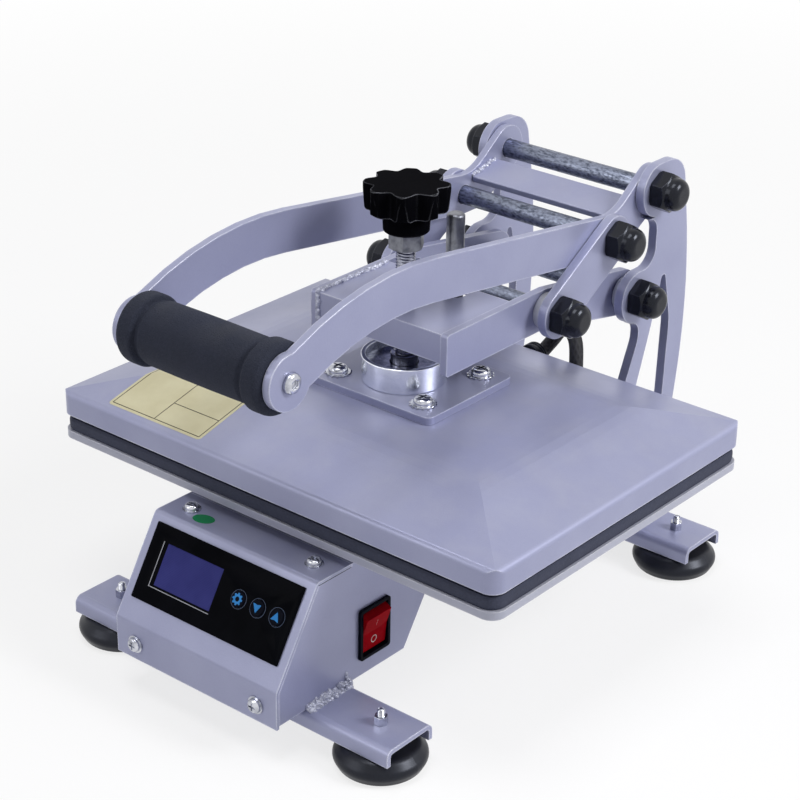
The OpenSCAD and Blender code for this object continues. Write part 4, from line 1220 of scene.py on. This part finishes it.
@dataclass
class ControlBox(SubAssembly):
    """Sheet box with the panel, its keys, the switch and the inlet."""

    coats: tuple[Coat, ...] = (
        Coat("lilac_paint", 0.5, ("box_body", "box_cover")),
        Coat("bright_zinc", 0.2, ("cover_screws",)),
        Coat("panel_film", 0.3, ("control_panel",)),
        Coat("display_glass", 0.2, ("display_window",)),
        Coat("black_plastic", 0.5, ("power_inlet", "relay")),
        Coat("key_plastic", 0.5, ("switch_frame",)),
        Coat("red_plastic", 0.6, ("rocker",)),
        Coat("key_plastic", 0.5, ("key_set", "key_down", "key_up")),
        Coat("board", 0.0, ("circuit_board",)),
        Coat("rubber", 0.3, ("box_boot",)))
    print_lift: float = 0.1
    print_sink: float = 0.1
    sign_size: float = 3.6
    sign_lift: float = 0.12
    gear_teeth: int = 8
    gear_steps: int = 12
    gear_root: float = 0.76
    gear_flank: float = 1.6
    gear_hub: float = 0.4
    arrow: tuple[Point, ...] = ((-0.95, -0.75, 0.3), (0.0, -0.5, 0.0), (0.95, -0.75, 0.3), (0.0, 0.95, 0.3))
    ring_gap: float = 0.6
    ring_width: float = 0.3
    ring_lift: float = 0.08
    bezel: float = 0.4
    bezel_sink: float = 0.15
    mask: Spot = (3.0, 1.3)
    bar: Point = (0.5, 4.2, 0.2)
    loop: Spot = (2.4, 1.95)
    oval: Spot = (14.0, 9.5)
    oval_spot: Spot = (-34.0, -147.0)
    oval_turn: float = 12.0
    oval_lift: float = 0.12
    seam: Spot = (27.0, 0.5)
    seam_spot: Spot = (14.0, 2.1)
    seam_lift: float = 0.06
    seam_sink: float = 0.2
    bead: float = 1.6
    bead_stray: float = 0.7
    bead_rows: tuple[Spot, ...] = ((0.4, 0.5), (1.9, 0.3), (0.2, 2.1), (3.3, -0.2))
    bead_seed: int = 11
    weld_inset: Spot = (3.0, 1.5)
    lump: Point = (0.4, 1.0, 1.0)
    lump_height: float = 5.0
    lump_stray: float = 0.8
    lump_seed: int = 23
    blade: Point = (2.4, 4.4, 0.5)
    blade_length: float = 12.0
    blade_inset: float = 3.2
    blades: tuple[Spot, ...] = ((-7.0, -2.0), (0.0, 2.0), (7.0, -2.0))

    def add_pieces(self) -> None:
        """Lays the signs, labels, painted seam shade and welds and sets the inlet's blades."""
        self.key_signs()
        self.display_line()
        self.rocker_marks()
        self.oval_label()
        self.cover_seam_shade()
        self.rail_welds()
        self.inlet_blades()

    @cached_property
    def panel(self) -> Plane:
        """Sloping face of the panel, found from the faces that look forward and up.

        Returns:
            A plane at the middle of that face.
        """
        out = Vector()
        for face in self.shop.frame["nodes"]["control_panel"].data.polygons:
            if face.normal.y < -0.3 and face.normal.z > 0.2:
                out += face.normal * face.area
        return self.shop.top_plane("control_panel", out.normalized(), RIGHT)

    def panel_at(self, face: Plane) -> Plane:
        """The panel's plane, centred on the middle of another face."""
        drop = (self.panel.centre - face.centre).dot(self.panel.out)
        return self.panel.moved(face.centre + self.panel.out * drop)

    def gear_outline(self, size: float) -> list[Spot]:
        """Draws a gear wheel.

        Args:
            size: Radius over the teeth.

        Returns:
            The points of its outline.
        """
        outline = []
        for u, v in circle(1.0, self.gear_teeth * self.gear_steps):
            rise = 0.5 + self.gear_flank * math.cos(self.gear_teeth * math.atan2(v, u))
            radius = size * (self.gear_root + (1 - self.gear_root) * min(max(rise, 0.0), 1.0))
            outline.append((radius * u, radius * v))
        return outline

    def sign_outline(self, sign: KeySign) -> tuple[list[Spot], list[Spot]]:
        """Draws a key's sign.

        Args:
            sign: The sign.

        Returns:
            Its outer and its inner outline, which may be empty.
        """
        size = self.sign_size * MM
        if sign is KeySign.GEAR:
            return self.gear_outline(size), circle(self.gear_hub * size, self.gear_teeth * self.gear_steps)
        way = 1.0 if sign is KeySign.UP else -1.0
        return round_corners([(u * size, v * way * size, radius * MM) for u, v, radius in self.arrow]), []

    def key_signs(self) -> None:
        """Lays blue signs on the keys and thin rings round them."""
        low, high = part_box("key_set")
        inside = (high.x - low.x) / 2 + self.ring_gap * MM
        ring = circle(inside + self.ring_width * MM)
        rings = []
        for sign in KeySign:
            top = self.shop.top_plane(sign.value, self.panel.out, self.panel.across)
            outer, inner = self.sign_outline(sign)
            mesh = top.slab(sign.value + "_sign", outer, self.sign_lift, self.print_sink, inner)
            self.shop.place(mesh, "blue_print", sign.value, "key_plastic")
            face = self.panel_at(top)
            rings.append(face.slab("ring", ring, self.ring_lift, self.print_sink, circle(inside)))
        self.shop.place(merged("key_rings", rings), "ring_print", "base", "panel_gloss")

    def display_line(self) -> None:
        """Lays the bright edge at the left and foot of the display and the dark step inside it."""
        low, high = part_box("display_window")
        face = self.shop.top_plane("display_window", self.panel.out, self.panel.across)
        tall = [spot.dot(face.up) for spot in self.shop.top_face("display_window", face.out)]
        u, v = (high.x - low.x) / 2, (max(tall) - min(tall)) / 2
        edge = self.bezel * MM
        line = [(-u - edge, -v - edge), (u + edge, -v - edge), (u + edge, -v), (-u, -v), (-u, v + edge),
                (-u - edge, v + edge)]
        mesh = self.panel_at(face).slab("display_line", line, self.print_lift, self.bezel_sink)
        self.shop.place(mesh, "silver_line", "base", "panel_gloss")
        left, foot = -u + self.mask[0] * MM, -v + self.mask[1] * MM
        step = [(-u, -v), (u, -v), (u, foot), (left, foot), (left, v), (-u, v)]
        mesh = face.slab("display_step", step, self.print_lift, self.print_sink)
        self.shop.place(mesh, "panel_film", "base", "panel_gloss")

    def rocker_marks(self) -> None:
        """Lays a ring and a bar on the two halves of the switch's rocker."""
        middle = sum(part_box("rocker"), Vector()).z / 2
        marks = []
        for upper in (False, True):
            out, spot, whole = Vector(), Vector(), 0.0
            for face in self.shop.frame["nodes"]["rocker"].data.polygons:
                if face.normal.x > 0.8 and (face.center.z > middle) == upper:
                    out += face.normal * face.area
                    spot += face.center * face.area
                    whole += face.area
            half = Plane(spot / whole, BACK, out.normalized().cross(BACK).normalized())
            outer, inner = (circle(radius * MM) for radius in self.loop)
            if upper:
                outer, inner = rectangle(*(size * MM for size in self.bar)), ()
            marks.append(half.slab("mark", outer, self.print_lift, self.print_sink, inner))
        self.shop.place(merged("rocker_marks", marks), "white_print", "rocker", "red_plastic")

    def oval_label(self) -> None:
        """Lays a plain oval label on the top of the box."""
        turn = Matrix.Rotation(math.radians(self.oval_turn), 3, "Z")
        spot = Vector((self.oval_spot[0] * MM, self.oval_spot[1] * MM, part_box("box_cover")[1].z))
        outline = [(u * self.oval[0] * MM / 2, v * self.oval[1] * MM / 2) for u, v in circle(1.0)]
        face = Plane(spot, turn @ RIGHT, turn @ BACK)
        mesh = face.slab("oval_label", outline, self.oval_lift, self.print_sink)
        self.shop.place(mesh, "green_label", "base", "lilac_paint")

    def cover_seam_shade(self) -> None:
        """Lays dark strips of painted shade along the seams below the side edges of the cover's top strip.
        """
        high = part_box("box_cover")[1]
        body_low, body_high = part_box("box_body")
        outline = rectangle(*(size * MM for size in self.seam))
        seams = []
        for x, way in ((body_high.x, BACK), (body_low.x, -BACK)):
            spot = Vector((x, high.y - self.seam_spot[0] * MM, high.z - self.seam_spot[1] * MM))
            seams.append(Plane(spot, way, UP).slab("seam", outline, self.seam_lift, self.seam_sink))
        self.shop.place(merged("cover_seam_shade", seams), "seam_shade", "base", "lilac_paint")

    def rail_welds(self) -> None:
        """Lays the broad, rough welds that hold the box on the front rail, with a lump at the rear end."""
        rail_low, rail_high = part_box("front_rail")
        box_low, box_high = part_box("box_body")
        front, back = rail_low.y + self.weld_inset[0] * MM, rail_high.y - self.weld_inset[1] * MM
        lump_out, lump_in, lump_lift = (size * MM for size in self.lump)
        rows = []
        for x, way in ((box_low.x, -1.0), (box_high.x, 1.0)):
            for out, lift in self.bead_rows:
                start = Vector((x + way * out * MM, front, rail_high.z + lift * MM))
                end = Vector((start.x, back, start.z))
                seed = self.bead_seed + int(4 * out)
                rows.append(self.shop.weld(start, end, self.bead, self.bead_stray, seed))
            lump = Vector((x + way * lump_out, back - lump_in, rail_high.z + lump_lift))
            top = lump + UP * self.lump_height * MM
            rows.append(self.shop.weld(lump, top, self.bead, self.lump_stray, self.lump_seed))
        self.shop.place(merged("rail_welds", rows), "weld_glint_paint", "base", "lilac_paint")

    def inlet_blades(self) -> None:
        """Sets bright blades in the mains inlet."""
        low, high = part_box("power_inlet")
        middle = (low + high) / 2
        outline = rectangle(*(size * MM for size in self.blade))
        blades = []
        for y, z in self.blades:
            spot = Vector((low.x + self.blade_inset * MM, middle.y + y * MM, middle.z + z * MM))
            blades.append(Plane(spot, -BACK, UP).slab("blade", outline, 0.0, self.blade_length))
        self.shop.place(merged("inlet_blades", blades), "bright_zinc", "base", "zinc")


@dataclass
class PressTable(SubAssembly):
    """Lower platen with the pad on which the work lies."""

    coats: tuple[Coat, ...] = (
        Coat("table_paint", 0.5, ("lower_platen",)),
        Coat("bright_zinc", 0.2, ("lower_screws",)))
    corner: float = 9.0
    bulge: float = 0.7
    slack: float = 0.05
    levels: int = 8
    edge: float = 50.0

    def add_pieces(self) -> None:
        """Lays the pad, whose edge swells a little between its faces."""
        low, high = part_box("silicone_pad")
        size, middle = high - low, (low + high) / 2
        shape = bmesh.new()
        loops = []
        for step in range(self.levels + 1):
            share = step / self.levels
            inset = (self.bulge * (2 * share - 1) ** 4 + self.slack) * MM
            outline = rectangle(size.x - 2 * inset, size.y - 2 * inset, self.corner * MM)
            z = low.z + size.z * share
            loops.append([shape.verts.new((middle.x + u, middle.y + v, z)) for u, v in outline])
        for below, above in zip(loops, loops[1:]):
            wall(shape, below, above)
        shape.faces.new(loops[0])
        shape.faces.new(loops[-1])
        mesh = close_mesh(shape, "press_pad", self.edge)
        pad = self.shop.place(mesh, "silicone", "base", "silicone", "silicone_pad")


def inside_corner(spot: Vector, half: Vector, radius: float) -> Vector:
    """Pulls a point of a rectangle inside its round corners.

    Args:
        spot: The point, from the middle of the rectangle.
        half: Half the width and height of the rectangle.
        radius: Radius of the corners.

    Returns:
        The point, moved where it lay outside a corner's arc.
    """
    over = Vector((abs(spot.x), abs(spot.y))) - half + Vector((radius, radius))
    if min(over) <= 0 or over.length <= radius or radius <= 0:
        return spot
    trim = over * (1 - radius / over.length)
    return spot - Vector((math.copysign(trim.x, spot.x), math.copysign(trim.y, spot.y)))


def rim(grid: Sequence[Sequence]) -> list:
    """Vertices round the edge of a grid, in order."""
    sides = ([row[0] for row in grid], grid[-1][1:], [row[-1] for row in grid[-2::-1]], grid[0][-2:0:-1])
    return [vertex for side in sides for vertex in side]


@dataclass
class HeatedPlaten(SubAssembly):
    """Cover, heating plate and what is fixed on them, with the heater lead."""

    coats: tuple[Coat, ...] = (
        Coat("lilac_paint", 0.5, ("platen_cover",)),
        Coat("lilac_paint", 0.6, ("mount_plate",)),
        Coat("coated_aluminium", 0.6, ("heating_plate",)),
        Coat("bright_zinc", 0.2, ("mount_screws",)),
        Coat("cup_zinc", 0.5, ("pressure_cup",)),
        Coat("dull_nickel", 0.4, ("guide_post",)),
        Coat("turned_steel", 0.4, ("cup_ring",)),
        Coat("turned_steel", 0.2, ("heating_element", "heat_sensor")),
        Coat("insulation", 0.0, ("insulation_mat",)),
        Coat("rubber", 0.3, ("platen_boot",)))
    lead_radius: float = 4.5
    lead_cuts: int = 5
    lead_sides: int = 24
    lead_route: tuple[Point, ...] = (
        (8, 114, 130.5), (8, 119, 131), (12, 123, 138), (22, 122, 150.5), (34, 117, 147.5), (38, 114, 130.5),
        (38, 114, 100), (38, 99, 76), (38, 65, 74), (38, -15, 76), (38, -27, 84.5), (38, -46, 84.5))
    lead_turn: int = 5
    label_spot: Spot = (-92.3, -105.4)
    label_size: Spot = (75.5, 48.0)
    label_turn: float = 0.5
    label_corner: float = 2.2
    label_margin: float = 2.2
    label_divide: Spot = (-1.0, -5.0)
    label_lift: float = 0.1
    label_sink: float = 0.25
    label_mesh: float = 2.0
    line_width: float = 0.5
    line_lift: float = 0.16
    screw_spots: Spot = (33.0, 27.0)
    washer_teeth: int = 14
    washer_tooth: Point = (1.6, 1.3, 0.6)
    washer_twist: float = 0.4
    washer_lift: float = 0.55
    ribs: int = 3
    rib: float = 0.7
    rib_step: float = 2.0
    rib_inset: Spot = (0.6, 6.0)

    def add_pieces(self) -> None:
        """Adds label, washers, ribs and lead."""
        self.label()
        self.washers()
        self.boot_ribs()
        self.lead()

    @cached_property
    def cover_skin(self) -> BVHTree:
        """Surface of the cover."""
        return self.shop.skin("platen_cover")

    def on_cover(self, flat: Vector, lift: float) -> Vector:
        """Finds a point of the label on the cover.

        Args:
            flat: The point, in millimetres from the middle of the label.
            lift: Height above the cover in millimetres.

        Returns:
            The point in space.
        """
        turn = Matrix.Rotation(math.radians(self.label_turn), 2)
        spot = (Vector(self.label_spot) + turn @ flat) * MM
        foot, normal = self.cover_skin.ray_cast(Vector((spot.x, spot.y, 1.0)), -UP)[:2]
        return foot + normal * lift * MM

    def drape(self, name: str, start: Spot, end: Spot, width: float, lift: float,
              corner: float = 0.0) -> Mesh:
        """Lays a strip of film on the cover, with all sizes in millimetres.

        Args:
            name: Name of the mesh.
            start: Middle of one end, from the middle of the label.
            end: Middle of the other end.
            width: Width of the strip.
            lift: Height of its face above the cover.
            corner: Radius of its corners.

        Returns:
            The closed mesh.
        """
        line = Vector(end) - Vector(start)
        middle = (Vector(start) + Vector(end)) / 2
        along = line.normalized()
        across = Vector((-along.y, along.x))
        half = Vector((line.length, width)) / 2
        steps, rows = (max(2, int(size / self.label_mesh)) for size in (line.length, width))
        shape = bmesh.new()
        levels = []
        for height in (lift, -self.label_sink):
            grid = []
            for i in range(steps + 1):
                column = []
                for j in range(rows + 1):
                    spot = Vector((half.x * (2 * i / steps - 1), half.y * (2 * j / rows - 1)))
                    spot = inside_corner(spot, half, corner)
                    flat = middle + along * spot.x + across * spot.y
                    column.append(shape.verts.new(self.on_cover(flat, height)))
                grid.append(column)
            for here, there in zip(grid, grid[1:]):
                for j in range(rows):
                    shape.faces.new((here[j], there[j], there[j + 1], here[j + 1]))
            levels.append(grid)
        wall(shape, rim(levels[0]), rim(levels[1]))
        return close_mesh(shape, name)

    def label(self) -> None:
        """Lays a blank cream label with a thin frame and two dividing lines."""
        u, v = self.label_size[0] / 2, self.label_size[1] / 2
        plate = self.drape("cream_label", (-u, 0.0), (u, 0.0), 2 * v, self.label_lift, self.label_corner)
        self.shop.place(plate, "cream_label", "platen", "lilac_paint")
        a, b = u - self.label_margin, v - self.label_margin
        c, d = self.label_divide
        lines = (((-a, -b), (a, -b)), ((-a, b), (a, b)), ((-a, -b), (-a, b)), ((a, -b), (a, b)),
                 ((c, -b), (c, b)), ((c, d), (a, d)))
        prints = [self.drape("line", start, end, self.line_width, self.line_lift) for start, end in lines]
        self.shop.place(merged("label_lines", prints), "dark_print", "platen", "lilac_paint")

    def washers(self) -> None:
        """Lays toothed lock washers under the four mount screws."""
        low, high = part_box("mount_screws")
        middle = (low + high) / 2
        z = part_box("mount_plate")[1].z + self.washer_lift * MM
        across, back = (size * MM for size in self.screw_spots)
        rings = []
        for x in (-across, across):
            for y in (-back, back):
                rings.append(self.shop.trees.run(self.shop.trees.teeth, {
                    "Centre": (middle.x + x, middle.y + y, z), "Radius": (high.x - low.x) / 2 - across,
                    "Count": self.washer_teeth, "Tooth": tuple(size * MM for size in self.washer_tooth),
                    "Twist": self.washer_twist, "Material": self.shop.finishes["bright_zinc"]}))
        self.shop.place(merged("lock_washers", rings, SHARP_THREAD), "bright_zinc", "platen", "zinc")

    def boot_ribs(self) -> None:
        """Lays ribs on the two strain reliefs of the lead."""
        inset, back = (size * MM for size in self.rib_inset)
        for node, body in (("platen_boot", "platen"), ("box_boot", "base")):
            low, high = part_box(node)
            middle = (low + high) / 2
            mesh = self.shop.trees.run(self.shop.trees.ribs, {
                "Start": (middle.x, high.y - back, middle.z), "Step": (0.0, self.rib_step * MM, 0.0),
                "Count": self.ribs, "Radius": (high.x - low.x) / 2 - inset, "Rib": self.rib * MM,
                "Material": self.shop.finishes["rubber"]})
            mesh.name = node + "_ribs"
            self.shop.place(mesh, "rubber", body, "rubber")

    def lead(self) -> None:
        """Runs the braided lead between the box and the moving platen."""
        path = smooth_path([Vector(point) * MM for point in self.lead_route], self.lead_cuts)
        mesh = tube("lead_sleeve", path, self.lead_radius * MM, self.lead_sides)
        lead = put(mesh.name, mesh)
        self.shop.cover(lead, "lead_braid")
        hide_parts("heater_lead")
        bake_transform(lead)
        LOG.info("piece %s between base and beam", lead.name)


@dataclass
class PressureGear(SubAssembly):
    """Pressure screw with its lock nut and star knob."""

    coats: tuple[Coat, ...] = (
        Coat("dull_nickel", 0.3, ("lock_nut",)),
        Coat("knob_gloss", 0.5, ("star_knob",)))
    pitch: float = 1.75
    core: float = 5.3
    ridge: float = 0.7
    tip: float = 1.0
    flange: float = 4.0
    flange_edge: float = 0.5
    sleeve: float = 8.3
    sleeve_edge: float = 0.4
    thread_foot: float = 12.1
    thread_gap: float = 0.5
    thread_short: float = 2.0
    sides: int = 64

    def add_pieces(self) -> None:
        """Turns the screw with its flange and sleeve and cuts its thread."""
        low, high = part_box("pressure_screw")
        foot = Vector(((low.x + high.x) / 2, (low.y + high.y) / 2, low.z))
        wide, tall = (high.x - low.x) / 2 / MM, (high.z - low.z) / MM
        edge = self.flange_edge
        profile = [(0.0, 0.0), (0.0, wide - edge), (edge, wide), (self.flange - edge, wide),
                   (self.flange, wide - edge), (self.flange, self.sleeve),
                   (self.thread_foot - self.sleeve_edge, self.sleeve),
                   (self.thread_foot, self.sleeve - self.sleeve_edge), (self.thread_foot, self.core),
                   (tall - self.tip, self.core), (tall, self.core - self.tip), (tall, 0.0)]
        body = lathe("core", [(z * MM, radius * MM) for z, radius in profile], foot, UP, self.sides)
        length = tall - self.thread_foot - self.thread_short
        ridge = self.shop.trees.run(self.shop.trees.thread, {
            "Foot": foot + UP * (self.thread_foot + self.thread_gap) * MM, "Height": length * MM,
            "Turns": length / self.pitch, "Radius": self.core * MM, "Ridge": self.ridge * MM,
            "Material": self.shop.finishes["turned_steel"]})
        screw = merged("threaded_screw", (body, ridge), SHARP_THREAD)
        self.shop.place(screw, "turned_steel", "screw", "zinc", "pressure_screw")


@dataclass
class PressBeam(SubAssembly):
    """Beam that carries the heated platen."""

    coats: tuple[Coat, ...] = (
        Coat("lilac_paint", 0.7, ("press_beam",)),
        Coat("bright_zinc", 0.3, ("beam_nut",)),
        Coat("drawn_zinc", 0.4, ("link_shaft",)),
        Coat("spacer_paint", 0.4, ("link_spacers",)))
    bead: float = 1.7
    bead_stray: float = 0.35
    bead_seeds: tuple[int, int] = (31, 37)
    bead_sink: float = 0.8
    wall: float = 5.0
    top_weld: float = 63.5
    front_weld: float = 17.0

    def add_pieces(self) -> None:
        """Lays weld beads between the left wall, the top plate and the front plate."""
        low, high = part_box("press_beam")
        sink = self.bead_sink * MM
        corner = Vector((low.x + self.wall * MM, low.y + sink, high.z - sink))
        back = Vector((corner.x, low.y + self.top_weld * MM, corner.z))
        down = corner - UP * self.front_weld * MM
        rows = [self.shop.weld(corner, end, self.bead, self.bead_stray, seed)
                for end, seed in zip((back, down), self.bead_seeds)]
        self.shop.place(merged("beam_welds", rows), "weld_glint_paint", "beam", "lilac_paint")


@dataclass
class Handle(SubAssembly):
    """Bent arms with the tie plate and the foam grip."""

    coats: tuple[Coat, ...] = (
        Coat("lilac_paint", 0.9, ("arm_left", "arm_right", "tie_plate")),
        Coat("drawn_zinc", 0.3, ("grip_core",)),
        Coat("bright_zinc", 0.3, ("grip_bolts",)))
    collar: float = 13.0
    collar_slope: float = 1.2
    groove: float = 1.3
    groove_width: float = 1.6
    shoulder: float = 4.0
    crown: float = 0.25
    crown_reach: float = 30.0
    rounds: tuple[float, ...] = (0.0, 4.0, 2.2, 0.8, 1.2, 3.0, 30.0)
    round_steps: int = 8
    grip_radius: float = 18.5
    bore_gap: float = 0.15
    sides: int = 72
    tie_width: float = 25.0
    tie_thick: float = 4.5
    tie_tilt: float = 14.0
    bead: float = 1.6
    bead_stray: float = 0.4
    bead_seed: int = 41
    weld_inset: float = 1.5

    def add_pieces(self) -> None:
        """Welds the tie plate and makes the grip."""
        self.welds()
        self.grip()

    def welds(self) -> None:
        """Lays weld beads where the tie plate meets the arms."""
        low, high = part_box("tie_plate")
        middle = (low + high) / 2
        turn = Matrix.Rotation(math.radians(self.tie_tilt), 3, "X")
        reach = turn @ BACK * ((self.tie_width / 2 - self.weld_inset) * MM)
        lift = turn @ UP * (self.tie_thick / 2 * MM)
        rows = []
        for x in (low.x, high.x):
            for face in (-1, 1):
                spot = Vector((x, middle.y, middle.z)) + lift * face
                seed = self.bead_seed + face
                rows.append(self.shop.weld(spot - reach, spot + reach, self.bead, self.bead_stray, seed))
        self.shop.place(merged("tie_welds", rows), "weld_glint_paint", "handle", "lilac_paint")

    def grip(self) -> None:
        """Turns the foam grip with a collar at each end and a groove beside it."""
        low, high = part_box("foam_grip")
        core_low, core_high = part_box("grip_core")
        half = (high.x - low.x) / 2 / MM
        collar_radius = (high.z - low.z) / 2 / MM
        bore = (core_high.z - core_low.z) / 2 / MM + self.bore_gap
        edge = half - self.collar
        bottom = self.grip_radius - self.groove
        corners = [(half, bore), (half, collar_radius), (edge + self.collar_slope, collar_radius),
                   (edge, bottom), (edge - self.groove_width, bottom),
                   (edge - self.shoulder, self.grip_radius),
                   (edge - self.crown_reach, self.grip_radius + self.crown)]
        right = [(x, radius, bend) for (x, radius), bend in zip(corners, self.rounds)]
        left = [(-x, radius, bend) for x, radius, bend in reversed(right)]
        profile = [(x * MM, r * MM) for x, r in round_corners([*right, *left], self.round_steps)]
        mesh = lathe("grip_foam", profile, (low + high) / 2, RIGHT, self.sides)
        self.shop.place(mesh, "foam", "handle", "foam", "foam_grip")


@dataclass
class ToggleLinks(SubAssembly):
    """Links of the toggle with their pins and caps."""

    coats: tuple[Coat, ...] = (
        Coat("lilac_paint", 0.8, ("link_left", "link_right")),
        Coat("drawn_zinc", 0.3, ("knee_shaft", "link_pins")),
        Coat("black_plastic", 0.6, ("link_caps",)))


@dataclass(frozen=True)
class Lamp:
    """Square soft light, with its place and side in metres and its power in watts."""

    name: str
    spot: Point
    side: float
    power: float


@dataclass
class Studio:
    """Floor, light and camera."""

    azimuth: float = 38.694
    elevation: float = 26.161
    roll: float = 0.023
    camera_spot: Point = (0.7351, -0.8965, 0.6936)
    lens: float = 95.76
    sensor: float = 36.0
    shift: Spot = (-0.0455, 0.023)
    sight: float = 60.0
    floor_size: float = 14.0
    floor_tone: Colour = screen(246, 246, 248)
    floor_roughness: float = 0.9
    floor_gloss: float = 0.1
    floor_glow: float = 0.76
    floor_fade: Spot = (0.45, 1.5)
    sky: float = 0.15
    aim: Point = (0.0, 0.0, 0.12)
    lamps: tuple[Lamp, ...] = (
        Lamp("key_light", (1.85, 0.7, 1.6), 0.9, 43.0),
        Lamp("top_light", (0.0, -0.4, 2.4), 1.1, 23.0),
        Lamp("fill_light", (-1.0, -2.0, 1.4), 1.2, 10.0))

    def build(self) -> None:
        """Sets up what surrounds the press."""
        self.floor()
        self.world()
        for lamp in self.lamps:
            self.light(lamp)
        self.camera()
        bpy.context.scene.view_settings.view_transform = "Standard"

    @staticmethod
    def seen(sketch: Sketch) -> Socket:
        """Tells rays that show a surface from those that light it.

        Args:
            sketch: Sketch of the material or the world.

        Returns:
            1 for rays from the camera, a mirror or a glass, and 0 for light.
        """
        path = sketch.add("ShaderNodeLightPath").outputs
        mirror = sketch.calc("MAXIMUM", path["Is Glossy Ray"], path["Is Transmission Ray"])
        return sketch.calc("MAXIMUM", path["Is Camera Ray"], mirror)

    def floor(self) -> None:
        """Lays a large pale floor that keeps the shadow of the press and turns white farther out."""
        shape = bmesh.new()
        bmesh.ops.create_grid(shape, x_segments=4, y_segments=4, size=self.floor_size / 2)
        mesh = bpy.data.meshes.new("floor")
        shape.to_mesh(mesh)
        shape.free()
        floor = put("floor", mesh)
        material, sketch, shader = blank_material("floor_paint")
        sketch.feed(shader, {"Base Color": self.floor_tone, "Roughness": self.floor_roughness,
                             "Specular IOR Level": self.floor_gloss})
        glow = sketch.first("ShaderNodeEmission", {"Color": WHITE, "Strength": 1.0})
        length = sketch.add("ShaderNodeVectorMath", {0: sketch.spot()}, operation="LENGTH")
        white = sketch.span(length.outputs["Value"], self.floor_glow, 1.0, self.floor_fade)
        share = sketch.calc("MULTIPLY", self.seen(sketch), white)
        both = sketch.first("ShaderNodeMixShader", {0: share, 1: shader.outputs[0], 2: glow})
        sketch.feed(material.node_tree.nodes["Material Output"], {"Surface": both})
        mesh.materials.append(material)

    def world(self) -> None:
        """Sets even pale light from all round."""
        world = bpy.data.worlds.new("studio")
        world.use_nodes = True
        sketch = Sketch(world.node_tree)
        strength = sketch.span(self.seen(sketch), self.sky, 1.0)
        sketch.feed(world.node_tree.nodes["Background"], {"Color": WHITE, "Strength": strength})
        bpy.context.scene.world = world

    def light(self, lamp: Lamp) -> None:
        """Hangs a light that points at the press.

        Args:
            lamp: The light.
        """
        data = bpy.data.lights.new(lamp.name, "AREA")
        data.size = lamp.side
        data.energy = lamp.power
        thing = put(lamp.name, data)
        thing.location = lamp.spot
        ahead = Vector(self.aim) - Vector(lamp.spot)
        thing.rotation_euler = ahead.to_track_quat("-Z", "Y").to_euler()

    def camera(self) -> None:
        """Sets the camera at the photograph's viewing angle."""
        turn, tilt = math.radians(self.azimuth), math.radians(self.elevation)
        ahead = Vector((-math.sin(turn) * math.cos(tilt), math.cos(turn) * math.cos(tilt), -math.sin(tilt)))
        right = Vector((math.cos(turn), math.sin(turn), 0.0))
        leaned = Matrix.Rotation(self.roll, 3, -ahead)
        right, up = leaned @ right, leaned @ right.cross(ahead)
        data = bpy.data.cameras.new("camera")
        data.lens = self.lens
        data.sensor_width = self.sensor
        data.shift_x, data.shift_y = self.shift
        data.clip_end = self.sight
        camera = put("camera", data)
        axes = Matrix((right, up, -ahead)).transposed()
        camera.matrix_world = Matrix.Translation(Vector(self.camera_spot)) @ axes.to_4x4()
        bpy.context.scene.camera = camera


def main() -> None:
    """Builds the press from its sub-assemblies."""
    logging.basicConfig(level=logging.INFO, format="%(name)s: %(message)s")
    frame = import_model()
    effects = Effects()
    finishes = {finish.name: finish.make(effects) for finish in FINISHES}
    shop = Shop(frame, finishes, Trees())
    Studio().build()
    for kind in (BaseFrame, ControlBox, PressTable, HeatedPlaten, PressureGear, PressBeam, Handle,
                 ToggleLinks):
        kind(shop).build()


if __name__ == "__main__":
    main()
